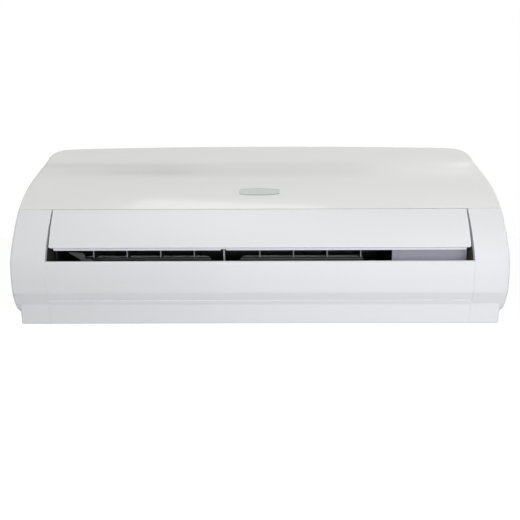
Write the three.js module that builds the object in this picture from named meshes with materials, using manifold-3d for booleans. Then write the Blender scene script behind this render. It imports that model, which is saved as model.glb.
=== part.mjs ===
// Indoor unit of a wall-mounted split air conditioner, 800 mm wide.
// Millimetres. +X is to the right seen from the room, the wall is the plane y = 0, the room
// lies towards -Y, and +Z is up. The origin is on the back face of the mounting plate.
import * as THREE from "three";
import { mergeVertices } from "three/addons/utils/BufferGeometryUtils.js";
import Module from "manifold-3d";

const wasm = await Module();
wasm.setup();

// ---------------------------------------------------------------- driving dimensions
const HALF_WIDTH = 400; // outer faces of the side covers
const CHEEK_HALF = 341.4; // the outlet recess reaches to the cheeks of the side covers
const SEAM_HALF = 341; // middle covers end a hairline before the side covers
const SKIRT_HALF = 391; // the skirt is stepped in from the side faces
const WALL = 2.8; // moulded casing wall
const GAP = 0.4; // between parts that touch
const BOTTOM = -146;
const DECK = 128; // top of the side covers and of the intake grille
const SEAM_Z = 38.6; // lower edge of the front panel
const LIP_Z = -41.5; // upper edge of the chin, below the air outlet
const CHIN_END_Z = -104.5;
const SKIRT_Y = -227.4;
const CURL_Z = -129.5; // where the side covers' fronts end, curling under
const EDGE_ROUND = 6; // between the front and the side faces
const FLANGE = 16; // depth of the front panel's side returns
const CASE_BACK = -1; // the casing stops just short of the wall

// air path
const AIR_LEFT = -335.2;
const AIR_RIGHT = 226;
const FAN = { y: -92, z: -18, radius: 46, left: -328, right: 216 };
const FLOOR_Z = -72; // outlet floor
const POST_X = -58; // the louver's middle post stands between the two banks of vanes
const VANE_PITCH = 55.5;
const VANE_Y = -158; // the vanes' pivots
const LINK_RADIUS = 14; // from a vane's pivot to its link pin

// hinge lines, both along X
const PANEL_HINGE = { y: -45, z: 135, earX: 352 };
const LOUVER_HINGE = { y: -185.7, z: 27.8 };

// The front of the casing in side view, as (y, z) from the top lip to the side covers' underside.
// It sweeps up at the lip, rounds forward, is fullest at the chin, and falls back below it.
const FRONT_POINTS = [
  [-53, 146], [-81, 124], [-107, 107.5], [-141, 86], [-167, 65.5], [-189.5, 40], [-205, 15],
  [-217, -9.5], [-227.6, -36], [-231.4, -60], [-232.1, -78], [-232.2, -91.5], [-230.9, -98],
  [-229, -105.5], [-226.7, -114], [-222.3, -122.5], [-214, CURL_Z],
];

// ---------------------------------------------------------------- materials
const finish = (color, roughness, metalness = 0) =>
  new THREE.MeshStandardMaterial({ color, roughness, metalness });
const whiteGloss = finish(0xeceeef, 0.22);
const whiteSatin = finish(0xe6e7e8, 0.4);
const chassisWhite = finish(0xdcdddd, 0.55);
const darkPlastic = finish(0x26272a, 0.5);
const ductBlack = finish(0x303134, 0.6);
const greyPlastic = finish(0x9a99a2, 0.5);
const badgeGrey = finish(0xaab0b2, 0.35, 0.3);
const aluminium = finish(0xb9bdc0, 0.4, 0.9);
const copper = finish(0xb4693c, 0.35, 1);
const brass = finish(0xc4a04f, 0.35, 1);
const steel = finish(0xa9acae, 0.4, 1);
const boardGreen = finish(0x2d5a3a, 0.6);
const blackRubber = finish(0x1b1b1c, 0.8);
const filterGrey = finish(0x3c4046, 0.7);
const creamPlastic = finish(0xd9d4c6, 0.5);

// ---------------------------------------------------------------- solids
// A closed geometry as a manifold-3d solid.
function solid(geometry) {
  const bare = geometry.clone();
  bare.deleteAttribute("normal");
  bare.deleteAttribute("uv");
  const merged = mergeVertices(bare, 1e-4);
  return new wasm.Manifold(new wasm.Mesh({
    numProp: 3,
    vertProperties: merged.attributes.position.array,
    triVerts: new Uint32Array(merged.index.array),
  }));
}

function geometryOf(made) {
  const mesh = made.getMesh();
  const geometry = new THREE.BufferGeometry();
  geometry.setAttribute("position", new THREE.BufferAttribute(mesh.vertProperties, 3));
  geometry.setIndex(new THREE.BufferAttribute(mesh.triVerts, 1));
  const faceted = geometry.toNonIndexed();
  faceted.computeVertexNormals();
  return faceted;
}

const join = (...solids) => solids.reduce((whole, piece) => whole.add(piece));
const cut = (whole, ...tools) => tools.reduce((left, tool) => left.subtract(tool), whole);

const unit = new THREE.Group();

// Adds a solid to the unit as a named mesh.
function place(name, made, material) {
  const mesh = new THREE.Mesh(geometryOf(made), material);
  mesh.name = name;
  unit.add(mesh);
}

const vectors = (outline) => outline.map(([a, b]) => new THREE.Vector2(a, b));

// Turns an extrusion's own axes to the unit's: outlines lie in (y, z), (x, z) or (x, y).
const TURN = {
  x: new THREE.Matrix4().set(0, 0, 1, 0, 1, 0, 0, 0, 0, 1, 0, 0, 0, 0, 0, 1),
  y: new THREE.Matrix4().set(1, 0, 0, 0, 0, 0, -1, 0, 0, 1, 0, 0, 0, 0, 0, 1),
  z: new THREE.Matrix4(),
};

// An outline pushed along an axis from low to high, less any holes through it.
function prism(axis, outline, low, high, holes = []) {
  const shape = new THREE.Shape(vectors(outline));
  const geometry = new THREE.ExtrudeGeometry(shape, { depth: high - low, bevelEnabled: false });
  const start = { x: [low, 0, 0], y: [0, high, 0], z: [0, 0, low] }[axis];
  const whole = solid(geometry.applyMatrix4(TURN[axis]).translate(...start));
  return cut(whole, ...holes.map((hole) => prism(axis, hole, low - 1, high + 1)));
}

const rectangle = (a0, a1, b0, b1) => [[a0, b0], [a1, b0], [a1, b1], [a0, b1]];
const box = (x0, x1, y0, y1, z0, z1) => prism("z", rectangle(x0, x1, y0, y1), z0, z1);

function arc(a, b, radius, from, to, steps) {
  return Array.from({ length: steps + 1 }, (_, i) => {
    const turn = THREE.MathUtils.degToRad(from + ((to - from) * i) / steps);
    return [a + radius * Math.cos(turn), b + radius * Math.sin(turn)];
  });
}

const circle = (a, b, radius, sides = 20) => arc(a, b, radius, 0, 360, sides).slice(1);
const rod = (axis, a, b, radius, low, high, sides = 20) =>
  prism(axis, circle(a, b, radius, sides), low, high);

// A tube with a bore, along an axis.
const sleeve = (axis, a, b, radius, bore, low, high, sides = 20) =>
  prism(axis, circle(a, b, radius, sides), low, high, [circle(a, b, bore, sides)]);

// Joins rings of equal count into a closed body. Outline is the rings' shape in a plane.
function loft(outline, rings) {
  const positions = [];
  const triangle = (...corners) => corners.forEach((corner) => positions.push(...corner.toArray()));
  const count = outline.length;
  for (let i = 0; i + 1 < rings.length; i++) {
    for (let k = 0; k < count; k++) {
      const next = (k + 1) % count;
      triangle(rings[i][next], rings[i][k], rings[i + 1][k]);
      triangle(rings[i][next], rings[i + 1][k], rings[i + 1][next]);
    }
  }
  const flat = vectors(outline);
  const last = rings[rings.length - 1];
  const turnsRight = THREE.ShapeUtils.isClockWise(flat);
  for (const face of THREE.ShapeUtils.triangulateShape(flat, [])) {
    const sameWay = THREE.ShapeUtils.isClockWise(face.map((i) => flat[i])) === turnsRight;
    const [a, b, c] = sameWay ? face : [face[0], face[2], face[1]];
    triangle(rings[0][a], rings[0][b], rings[0][c]);
    triangle(last[a], last[c], last[b]);
  }
  const geometry = new THREE.BufferGeometry();
  geometry.setAttribute("position", new THREE.Float32BufferAttribute(positions, 3));
  return outwards(geometry);
}

// A solid whose faces point out, whichever way the geometry was wound.
function outwards(geometry) {
  const p = geometry.attributes.position;
  const [a, b, c] = [0, 1, 2].map(() => new THREE.Vector3());
  let volume = 0;
  for (let i = 0; i < p.count; i += 3) {
    [a, b, c].forEach((corner, k) => corner.fromBufferAttribute(p, i + k));
    volume += a.dot(b.cross(c));
  }
  if (volume > 0) return solid(geometry);
  geometry.setIndex(Array.from({ length: p.count }, (_, i) => i - (i % 3) + [0, 2, 1][i % 3]));
  return solid(geometry.toNonIndexed());
}

// A round pipe along a route, with rounded bends that start a given length from each corner.
function pipe(route, radius, bend, sides = 8) {
  const points = route.map((p) => new THREE.Vector3(...p));
  const path = [points[0]];
  for (let i = 1; i + 1 < points.length; i++) {
    const into = points[i - 1].clone().sub(points[i]).setLength(bend).add(points[i]);
    const out = points[i + 1].clone().sub(points[i]).setLength(bend).add(points[i]);
    path.push(...new THREE.QuadraticBezierCurve3(into, points[i], out).getPoints(4));
  }
  path.push(points[points.length - 1]);
  return tube(path, radius, sides);
}

// A tube through points. Each ring is carried along the path without twisting.
function tube(path, radius, sides = 8) {
  const side = new THREE.Vector3(0.31, 0.52, 0.79);
  const rings = path.map((point, i) => {
    const ahead = path[Math.min(i + 1, path.length - 1)];
    const behind = path[Math.max(i - 1, 0)];
    const along = ahead.clone().sub(behind).normalize();
    side.addScaledVector(along, -side.dot(along)).normalize();
    const up = new THREE.Vector3().crossVectors(along, side);
    return circle(0, 0, radius, sides).map(([a, b]) =>
      point.clone().addScaledVector(side, a).addScaledVector(up, b));
  });
  return loft(circle(0, 0, radius, sides), rings);
}

// A wall of even thickness on the left of a route, as a closed outline.
function wallAlong(route, thickness) {
  const points = vectors(route);
  const inner = points.map((point, i) => {
    const before = points[Math.max(i - 1, 0)];
    const after = points[Math.min(i + 1, points.length - 1)];
    const into = (i ? point.clone().sub(before) : after.clone().sub(point)).normalize();
    const out = (i + 1 < points.length ? after.clone().sub(point) : into.clone()).normalize();
    const mean = into.clone().add(out).normalize();
    const reach = thickness / Math.max(mean.dot(into), 0.5);
    return [point.x - mean.y * reach, point.y + mean.x * reach];
  });
  return [...route, ...inner.reverse()];
}

// ---------------------------------------------------------------- the front curve
const frontCurve = new THREE.SplineCurve(vectors(FRONT_POINTS));

// How far along the curve, from 0 to 1, it passes a height. The curve falls all the way.
function alongAt(z) {
  let [low, high] = [0, 1];
  for (let i = 0; i < 40; i++) {
    const middle = (low + high) / 2;
    if (frontCurve.getPoint(middle).y > z) low = middle;
    else high = middle;
  }
  return (low + high) / 2;
}

// Points of the front curve between two heights, with the outward direction at each.
function frontRun(zHigh, zLow, steps) {
  const [start, end] = [alongAt(zHigh), alongAt(zLow)];
  return Array.from({ length: steps + 1 }, (_, i) => {
    const t = start + ((end - start) * i) / steps;
    const along = frontCurve.getTangent(t);
    return { at: frontCurve.getPoint(t), out: new THREE.Vector2(along.y, -along.x) };
  });
}

// The same points moved inwards.
const front = (zHigh, zLow, steps, inset = 0) =>
  frontRun(zHigh, zLow, steps).map(({ at, out }) => [at.x - out.x * inset, at.y - out.y * inset]);

// A strip under the front curve, from one depth to a deeper one.
const frontStrip = (zHigh, zLow, steps, outer, inner) =>
  [...front(zHigh, zLow, steps, outer), ...front(zHigh, zLow, steps, inner).reverse()];

// ---------------------------------------------------------------- front panel
const PANEL = { wall: 2.6, crown: 4.5, corner: 26, steps: 15, lipFade: 70 };

// Half of a section across the casing, rounded back at the side: (x, depth under the front).
function sideSection(from, wall, depth) {
  const centre = HALF_WIDTH - EDGE_ROUND;
  const outer = [[from, 0], ...arc(centre, -EDGE_ROUND, EDGE_ROUND, 90, 0, 4), [HALF_WIDTH, -depth]];
  const innerArc = arc(centre, -EDGE_ROUND, EDGE_ROUND - wall, 0, 90, 3);
  return [outer, [[HALF_WIDTH - wall, -depth], ...innerArc, [from, -wall]]];
}

// A sheet swept down the front, whose ends round back into side returns. The top corners are
// drawn in to a radius, and the lip is crowned.
function frontPanelShell() {
  const [outer, inner] = sideSection(300, PANEL.wall, FLANGE);
  const right = [[0, 0], [100, 0], [200, 0], ...outer];
  const rightInner = [...inner, [200, -PANEL.wall], [100, -PANEL.wall], [0, -PANEL.wall]];
  const mirrored = (half) => half.filter(([x]) => x > 0).map(([x, n]) => [-x, n]).reverse();
  const section = [...right, ...rightInner, ...mirrored(rightInner), ...mirrored(right)];
  const run = frontRun(FRONT_POINTS[0][1], SEAM_Z, PANEL.steps);
  let fromTop = 0;
  const rings = run.map(({ at, out }, i) => {
    if (i) fromTop += at.distanceTo(run[i - 1].at);
    const toCentre = Math.max(0, PANEL.corner - fromTop);
    const drawnIn = PANEL.corner - Math.sqrt(PANEL.corner ** 2 - toCentre ** 2);
    const lift = PANEL.crown * Math.max(0, 1 - fromTop / PANEL.lipFade) ** 2;
    return section.map(([x, n]) => {
      const inBy = Math.abs(x) > CHEEK_HALF ? Math.sign(x) * drawnIn : 0;
      const crown = lift * (1 - (x / HALF_WIDTH) ** 2);
      return new THREE.Vector3(x - inBy, at.x + out.x * n, at.y + out.y * n + crown);
    });
  });
  return loft(section, rings);
}

// The panel's lower edge slopes up inwards, so that the louver's upper edge can swing behind it.
function frontPanel() {
  const { y, z, earX } = PANEL_HINGE;
  const earOutline = [
    [-54, 144.2], [-66, 134.6], [-61, 129], [-47, 129.5], [-40.5, 132], [-40, 138], [-47, 141],
  ];
  const ears = [-1, 1].flatMap((side) => {
    const [inner, tip] = [side * (earX - 1.5), side * (earX + 8)];
    const pin = rod("x", y, z, 2.6, Math.min(inner, tip), Math.max(inner, tip), 12);
    return [prism("x", earOutline, side * earX - 1.5, side * earX + 1.5), pin];
  });
  const edgeY = front(SEAM_Z, SEAM_Z - 1, 1)[0][0];
  const under = [
    [edgeY - 2, SEAM_Z - 9], [edgeY - 2, SEAM_Z - 1], [edgeY, SEAM_Z], [edgeY + 4.6, SEAM_Z + 2.5],
    [edgeY + 25, SEAM_Z + 2.5], [edgeY + 25, SEAM_Z - 9],
  ];
  const slopeHalf = CHEEK_HALF + WALL + 2;
  const slope = prism("x", under, -slopeHalf, slopeHalf);
  return cut(join(frontPanelShell(), ...ears), slope);
}
place("front_panel", frontPanel(), whiteGloss);

// A blank plaque, long and low with cut ends, lying on the front panel.
function badgePlate() {
  const { at, out } = frontRun(66, 65, 1)[0];
  const [halfLong, halfTall, thickness, lift, stretch] = [34, 7.6, 1.2, 0.3, 1.3];
  const cutEnds = ([a, b]) =>
    [THREE.MathUtils.clamp(a * stretch, -halfLong, halfLong), (b * halfTall) / halfLong];
  const shape = new THREE.Shape(vectors(circle(0, 0, halfLong, 36).map(cutEnds)));
  const geometry = new THREE.ExtrudeGeometry(shape, { depth: thickness, bevelEnabled: false });
  const outward = new THREE.Vector3(0, out.x, out.y);
  const along = new THREE.Vector3(1, 0, 0);
  const basis = new THREE.Matrix4().makeBasis(along, outward.clone().cross(along), outward);
  const seat = new THREE.Vector3(0, at.x, at.y).addScaledVector(outward, lift);
  return solid(geometry.applyMatrix4(basis.setPosition(seat)));
}
place("badge_plate", badgePlate(), badgeGrey);

// ---------------------------------------------------------------- lower casing
// Section of the skirt: a slanted step under the chin, the strip itself and its underside.
const skirtSection = (back) => [
  [-228.7, -106.2], [-226.5, -111.8], [SKIRT_Y, -113.2], [SKIRT_Y, BOTTOM + 2], [SKIRT_Y + 1.6, BOTTOM],
  [back, BOTTOM], [back, BOTTOM + WALL], [SKIRT_Y + WALL, BOTTOM + WALL],
  [SKIRT_Y + WALL, -115], [-223.6, -113], [-225.7, -106.2],
];

// The chin between the side covers: the outlet's ramp and lip, the full front, the skirt.
function chinPanel() {
  const chin = [
    [-201.5, FLOOR_Z + GAP], [-210.5, -60], [-219, -48.5], [-223.5, -43.5], [-226, -42],
    ...front(LIP_Z - 1, CHIN_END_Z, 14), [-228, -105.2], [-229, -106.5], [-225.9, -106.7],
    ...front(-50, CHIN_END_Z, 10, WALL).reverse(), [-221, -50.5], [-212.8, -62], [-204, -75],
  ];
  return join(...[chin, skirtSection(-150)].map((outline) => prism("x", outline, -SEAM_HALF, SEAM_HALF)));
}
place("chin_panel", chinPanel(), whiteSatin);

function baseCover() {
  const floor = box(-SEAM_HALF, SEAM_HALF, -149.4, -8, BOTTOM, BOTTOM + WALL);
  const ribs = [-300, -150, 0, 150, 300].map((x) =>
    box(x - 1, x + 1, -140, -12, BOTTOM + 1, BOTTOM + 9));
  return join(floor, ...ribs);
}
place("base_cover", baseCover(), whiteSatin);

// ---------------------------------------------------------------- side covers
const HORN_X = 357; // posts on the side covers that carry the front panel's pins
const COVER_TOP = SEAM_Z - GAP; // upper edge of their fronts

// One side cover, an open-backed shell: side face, front with chin, cheek, deck and skirt end.
function sideCover(side) {
  const span = (low, high) => (side > 0 ? [low, high] : [-high, -low]);
  const slab = (outline, low, high, holes) => prism("x", outline, ...span(low, high), holes);
  const block = (low, high, ...rest) => box(...span(low, high), ...rest);
  const returnEdge = front(DECK + 8, COVER_TOP, 12, FLANGE + 0.6).filter(([, z]) => z < DECK);
  const sideFace = [
    [CASE_BACK, CURL_Z - 1.5], [CASE_BACK, DECK], ...returnEdge,
    ...front(COVER_TOP, CURL_Z, 16, EDGE_ROUND), [-200, CURL_Z - 1.5],
  ];
  const section = sideSection(CHEEK_HALF, WALL, EDGE_ROUND + 2).flat().map(([x, n]) => [side * x, n]);
  const frontRings = frontRun(COVER_TOP, CURL_Z, 16).map(({ at, out }) =>
    section.map(([x, n]) => new THREE.Vector3(x, at.x + out.x * n, at.y + out.y * n)));
  const cheek = [...front(COVER_TOP - 0.1, LIP_Z, 8, 1), [-200, -76], [-165, -76], [-165, 37]];
  const louverPivot = circle(LOUVER_HINGE.y, LOUVER_HINGE.z, 5, 16);
  const louverHole = slab(louverPivot, CHEEK_HALF - 1, CHEEK_HALF + WALL + 1);
  const skirt = slab(skirtSection(CASE_BACK), CHEEK_HALF, SKIRT_HALF);
  const skirtSide = block(SKIRT_HALF - WALL, SKIRT_HALF, SKIRT_Y + 1, CASE_BACK, BOTTOM, CURL_Z);
  const skirtFront = block(SKIRT_HALF - WALL, SKIRT_HALF, SKIRT_Y, -212, BOTTOM + 2, -113.4);
  const ledge = block(SKIRT_HALF - WALL, HALF_WIDTH - 1, -214, CASE_BACK, CURL_Z - 1.5, CURL_Z + 1.3);
  const deck = block(CHEEK_HALF, HALF_WIDTH - 1, -48, CASE_BACK, DECK - WALL, DECK);
  const hornOutline = [
    [-48, DECK - 1], [-38, DECK - 1], [-40, 138], [-43, 140], [-47, 140], [-50.5, 137], [-50.5, 131],
  ];
  const horn = slab(hornOutline, HORN_X - 2, HORN_X + 2, [circle(PANEL_HINGE.y, PANEL_HINGE.z, 3, 12)]);
  const skin = join(slab(sideFace, HALF_WIDTH - WALL, HALF_WIDTH), loft(section, frontRings));
  const recess = slab(cheek, CHEEK_HALF, CHEEK_HALF + WALL);
  const whole = join(skin, recess, skirt, skirtSide, skirtFront, ledge, deck, horn);
  const pipeExit = block(SKIRT_HALF - WALL - 3, HALF_WIDTH + 1, -62, -14, CURL_Z + 4, -78);
  return side > 0 ? cut(whole, louverHole, pipeExit) : cut(whole, louverHole);
}
place("side_cover_left", sideCover(-1), whiteSatin);
place("side_cover_right", sideCover(1), whiteSatin);

// ---------------------------------------------------------------- wall plate
const CHASSIS_BACK = { front: -7.2, rear: -4.6, half: 385, top: 124, bottom: -127.5 };
const HOOK_X = [-170, 170];

function wallPlate() {
  const [halfWidth, top, bottom, sheet] = [230, 88, -98, 1.2];
  const windows = [-165, -55, 55, 165].map((x) => rectangle(x - 35, x + 35, -60, 10));
  const holes = [-200, 0, 200].flatMap((x) => [70, -80].map((z) => circle(x, z, 2.6, 10)));
  const outline = rectangle(-halfWidth, halfWidth, bottom, top);
  const plate = prism("y", outline, -sheet, 0, [...windows, ...holes]);
  const bead = (z) => [[-0.6, z - 8], [-3.4, z - 4], [-3.4, z + 4], [-0.6, z + 8]];
  const beads = [35, -72].map((z) => prism("x", bead(z), -halfWidth + 12, halfWidth - 12));
  const hook = wallAlong([[-0.2, 80], [-0.2, 98], [-9.6, 98], [-9.6, 106]], sheet);
  const clip = wallAlong([[-8.4, -108], [-8.4, -102], [-0.2, -102], [-0.2, -90]], sheet);
  const bent = HOOK_X.flatMap((x) => [hook, clip].map((outline) => prism("x", outline, x - 18, x + 18)));
  return join(plate, ...beads, ...bent);
}
place("wall_plate", wallPlate(), steel);

// ---------------------------------------------------------------- rear chassis
// The fan's scroll runs from the rear gutter, round behind the fan, into the outlet floor.
const SCROLL = [
  [-44, 30], [-39, 8], [-37, -14], [-39, -34], [-47, -52], [-60, -65.5], [-79, -73],
  [-104, -74.5], [-140, FLOOR_Z], [-201, FLOOR_Z],
];
const MOTOR = { radius: 33, left: 240, right: 296, bore: 4.6 };
const GAS_RUN = { x: 246, y: -20, startY: -60, startZ: 82, bendZ: 60, endX: 120, endZ: -112 };
const LIQUID_RUN = { x: 237, y: -36, startY: -84, startZ: 68, bendZ: 44, endX: 90, endZ: -103 };

function rearChassis() {
  const { front: inside, rear, half, top, bottom } = CHASSIS_BACK;
  const wall = prism("y", rectangle(-half, half, bottom, top), inside, rear);
  const rims = [
    box(-half, half, inside, -0.6, top - 2.4, top), box(-half, half, inside, -0.6, bottom, bottom + 2.4),
    box(-half, 2.4 - half, inside, -0.6, bottom, top), box(half - 2.4, half, inside, -0.6, bottom, top),
  ];
  const slots = HOOK_X.flatMap((x) =>
    [[94, 108.5], [-110, -99]].map(([low, high]) => box(x - 20, x + 20, inside - 1, rear + 1, low, high)));
  const scroll = prism("x", wallAlong(SCROLL, WALL), AIR_LEFT, AIR_RIGHT);
  const gutterOutline = [[-46.5, 38], [-46.5, 27], [-6, 27], [-6, 29.6], [-44, 29.6], [-44, 38]];
  const gutter = prism("x", gutterOutline, AIR_LEFT, AIR_RIGHT);
  const bulkheadEdge = [
    [-6, 115], [-62, 113.5], ...front(112, 57, 6, 13.5), [-166.2, 40], [-168.8, 38], [-168.8, 12], [-188, 12],
    [-200, -8], [-200, -71], [-140, -74], [-104, -77], [-60, -68], [-6, -60],
  ];
  const shaftHole = circle(FAN.y, FAN.z, 12);
  const pipeHoles = [GAS_RUN, LIQUID_RUN].map(({ startY, startZ }) => circle(startY, startZ, 8, 12));
  const bulkheads = [
    prism("x", bulkheadEdge, AIR_LEFT - WALL, AIR_LEFT + 0.1, [shaftHole]),
    prism("x", bulkheadEdge, AIR_RIGHT - 0.1, AIR_RIGHT + WALL, [shaftHole, ...pipeHoles]),
  ];
  const footOutline = [
    [-6, -60], [-60, -68], [-104, -76], [-140, -74], [-136, -100], [-60, -136], [-6, -136],
  ];
  const feet = [-200, 0].map((x) => prism("x", footOutline, x - 1.5, x + 1.5));
  const [cradleLeft, cradleRight, jawY] = [MOTOR.left + 16, MOTOR.right - 16, FAN.y + 1.2];
  const cradleOutline = [
    ...arc(FAN.y, FAN.z, MOTOR.radius + 0.6, -88, 88, 12), [jawY, 32], [-6, 32], [-6, -68], [jawY, -68],
  ];
  const cradle = [cradleLeft, cradleRight - 3].map((x) => prism("x", cradleOutline, x, x + 3));
  const seat = box(cradleLeft, cradleRight, jawY, FAN.y + 6, 17.5, 32);
  const lowSeat = box(cradleLeft, cradleRight, jawY, FAN.y + 6, -68, -53.5);
  const whole = join(wall, ...rims, scroll, gutter, ...bulkheads, ...feet, ...cradle, seat, lowSeat);
  return cut(whole, ...slots);
}
place("rear_chassis", rearChassis(), ductBlack);

// ---------------------------------------------------------------- front frame, grille, tray
function frontFrame() {
  const rail = [[-181.2, 40.9], [-169.2, 40.9], [-169.2, 43.2], [-180.4, 43.6]];
  const guideBack = front(129, 57, 9, 6.8).reverse();
  const guide = [[-178.5, 42.6], [-171.6, 42.6], ...guideBack, ...front(129, 48, 10, 4)];
  const guides = [-335, 0, 335].map((x) => prism("x", guide, x - 3, x + 3));
  const topRail = frontStrip(131, 125, 1, 4, 8.4);
  return join(...[rail, topRail].map((outline) => prism("x", outline, -SEAM_HALF, SEAM_HALF)), ...guides);
}
place("front_frame", frontFrame(), chassisWhite);

function intakeGrille() {
  const [halfWidth, back, lip, pitch] = [340.9, -8, -64, 26];
  const count = Math.floor((2 * halfWidth - 12) / pitch);
  const slots = Array.from({ length: count }, (_, i) => (i - (count - 1) / 2) * pitch)
    .flatMap((x) => [[-60, -38], [-34, -12]].map(([y0, y1]) => rectangle(x - 11, x + 11, y0, y1)));
  return prism("z", rectangle(-halfWidth, halfWidth, lip, back), DECK - 3.1, DECK - 0.1, slots);
}
place("intake_grille", intakeGrille(), whiteSatin);

function drainTray() {
  const outline = [
    [-172.2, 40.2], [-172.2, -9.5], [-149.5, -12.5], [-143.4, -30.5], [-141, -30.5], [-141, 3],
    [-143.4, 3], [-143.4, -7.5], [-169.6, -5.5], [-169.6, 40.2],
  ];
  const ends = [AIR_LEFT + 0.5, AIR_RIGHT - 3].map((x) =>
    prism("x", [[-172, 14], [-172, -9], [-149.5, -12], [-142, -12], [-142, 2], [-160, 8]], x, x + 2.5));
  return join(prism("x", outline, AIR_LEFT + 0.5, AIR_RIGHT - 0.5), ...ends);
}
place("drain_tray", drainTray(), ductBlack);

const drainRoute = [[237, -155, -16], [237, -155, -98], [237, -70, -122], [150, -60, -124]];
place("drain_spout", pipe(drainRoute, 6.5, 16, 10), greyPlastic);

// It closes the outlet in front of the motor. A lip at its left covers the bulkhead's front edge.
function outletBlankingWall() {
  const [left, lipLeft] = [AIR_RIGHT + WALL + GAP, 218.5];
  const route = [[-172.7, 13.5], [-189.5, 13.5], [-203, -6], [-203, -64], [-200.6, -71.4]];
  const wall = prism("x", wallAlong(route, 2.4), left, SEAM_HALF);
  return join(wall, box(lipLeft, left + 1, -202.6, -200.4, -68, -8));
}
place("outlet_blanking_wall", outletBlankingWall(), greyPlastic);

// ---------------------------------------------------------------- louver
const LOUVER = {
  topHalf: SEAM_HALF, half: 340, bottomHalf: 338.4, skinHalf: 332,
  top: SEAM_Z - GAP, bottom: -21, skinTop: 34, skinBottom: -24.1,
};

// The outer blade. It narrows a little towards its lower edge.
function louverBlade() {
  const { topHalf, half, bottomHalf, top, bottom } = LOUVER;
  const blade = prism("x", frontStrip(top, bottom, 12, 0, 3), -topHalf, topHalf);
  const beside = [
    [topHalf, top - 2.4], [half, top - 3.6], [bottomHalf, bottom - 3],
    [topHalf + 5, bottom - 3], [topHalf + 5, top - 2.4],
  ];
  const trims = [beside, beside.map(([x, z]) => [-x, z])].map((outline) => prism("y", outline, -235, -180));
  return cut(blade, ...trims);
}
place("louver_blade", louverBlade(), whiteSatin);

// The inner skin shows below the blade, is notched for the post, and carries the hinge ears.
function louverInnerSkin() {
  const { y, z } = LOUVER_HINGE;
  const { skinTop, skinBottom, skinHalf } = LOUVER;
  const skin = prism("x", frontStrip(skinTop, skinBottom, 12, 3.4, 5.4), -skinHalf, skinHalf);
  const [root] = front(33, 32, 1, 4.4);
  const [foot] = front(11, 10, 1, 4.4);
  const earOutline = [...arc(y, z, 4, -75, 105, 8), root, foot];
  const notch = box(POST_X - 4, POST_X + 4, -232, -205, skinBottom - 2, skinBottom + 2);
  const earSpans = [[-336, -330], [-55.9, -53.4], [330, 336]];
  const ears = earSpans.map(([low, high]) => prism("x", earOutline, low, high));
  const pins = [[-344.4, -334], [-62, -54.5]].map(([low, high]) => rod("x", y, z, 2.2, low, high, 12));
  return join(cut(skin, notch), ...ears, ...pins);
}
place("louver_inner_skin", louverInnerSkin(), whiteSatin);

function louverPost() {
  const { y, z } = LOUVER_HINGE;
  const outline = [
    ...arc(y, z, 4, 50, 170, 6), [-194, 18], [-205, -10], [-209.5, -30], [-204.5, -60],
    [-199.5, FLOOR_Z + GAP], [-186, FLOOR_Z + GAP], [-196, -52], [-200, -30], [-193, -8], [-178, 16],
    [-177, 25],
  ];
  return prism("x", outline, POST_X - 1.2, POST_X + 1.2, [circle(y, z, 2.6, 12)]);
}
place("louver_post", louverPost(), chassisWhite);

const hub = LOUVER_HINGE;
place("louver_bush", sleeve("x", hub.y, hub.z, 4.6, 2.6, -347, -341.8, 14), greyPlastic);
place("louver_drive_hub", join(
  rod("x", hub.y, hub.z, 4.4, 336.4, 346, 14), rod("x", hub.y, hub.z, 2, 345, 354, 10),
), greyPlastic);

// A small geared motor whose shaft is off the middle of its can.
function louverStepMotor() {
  const [y, z] = [hub.y + 6, hub.z - 5];
  const can = rod("x", y, z, 12, 346.6, 364, 20);
  const tabs = prism("x", rectangle(y - 3, y + 3, z - 17, z + 15), 346.6, 348);
  const terminals = prism("x", rectangle(y + 8, y + 15, z - 7, z + 7), 350, 362);
  return cut(join(can, tabs, terminals), rod("x", hub.y, hub.z, 2.4, 345, 356, 10));
}
place("louver_step_motor", louverStepMotor(), steel);

// ---------------------------------------------------------------- air vanes
const VANE_SIDES = {
  left: [0, 1, 2, 3].map((i) => -274.5 + i * VANE_PITCH),
  right: [0, 1, 2, 3].map((i) => 0.5 + i * VANE_PITCH),
};
const LINK_ENDS = { left: [-303, -83], right: [-33.5, 177.5] };
const LINK_CURVES = { left: [14, 14], right: [14, 3] }; // how far in each end's upper corner reaches
const LINK_Y = VANE_Y - LINK_RADIUS;
const LINK_Z = { low: -49, high: -41.8 };

// A thin upright blade on a foot pin. Its front part passes over the link bar.
function vane(x) {
  const outline = [
    [-163.5, -62.4], [-151, -62.4], [-151, -22], [-159, -15], [-200, -15], [-201.5, -18],
    [-201.5, -38], [-198, -41.2], [-163.5, -41.2],
  ];
  const foot = rod("z", x, VANE_Y, 4, -62.4, -60.4, 12);
  const pivot = rod("z", x, VANE_Y, 2.1, -69, -62, 10);
  const linkPin = rod("z", x, LINK_Y, 1.5, -50.5, -40, 8);
  return join(prism("x", outline, x - 0.8, x + 0.8), foot, pivot, linkPin);
}

// The bar that joins a bank's pins. Its upper corners are rounded down to its ends.
function linkBar([left, right], [leftReach, rightReach], places) {
  const { low, high } = LINK_Z;
  const curve = [[0.1, 0.5], [0.29, 0.75], [0.57, 0.92], [1, 1]]; // share of the reach, how high
  const rise = (end, reach) => curve.map(([run, share]) => [end + run * reach, low + share * (high - low)]);
  const outline = [
    [left, low], [right, low], ...rise(right, -rightReach), ...rise(left, leftReach).reverse(),
  ];
  const slots = places.map((x) => box(x - 2.1, x + 2.1, LINK_Y - 2.2, LINK_Y + 4, low - 1, high + 1));
  return cut(prism("y", outline, LINK_Y - 5, LINK_Y + 5.5), ...slots);
}

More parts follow.
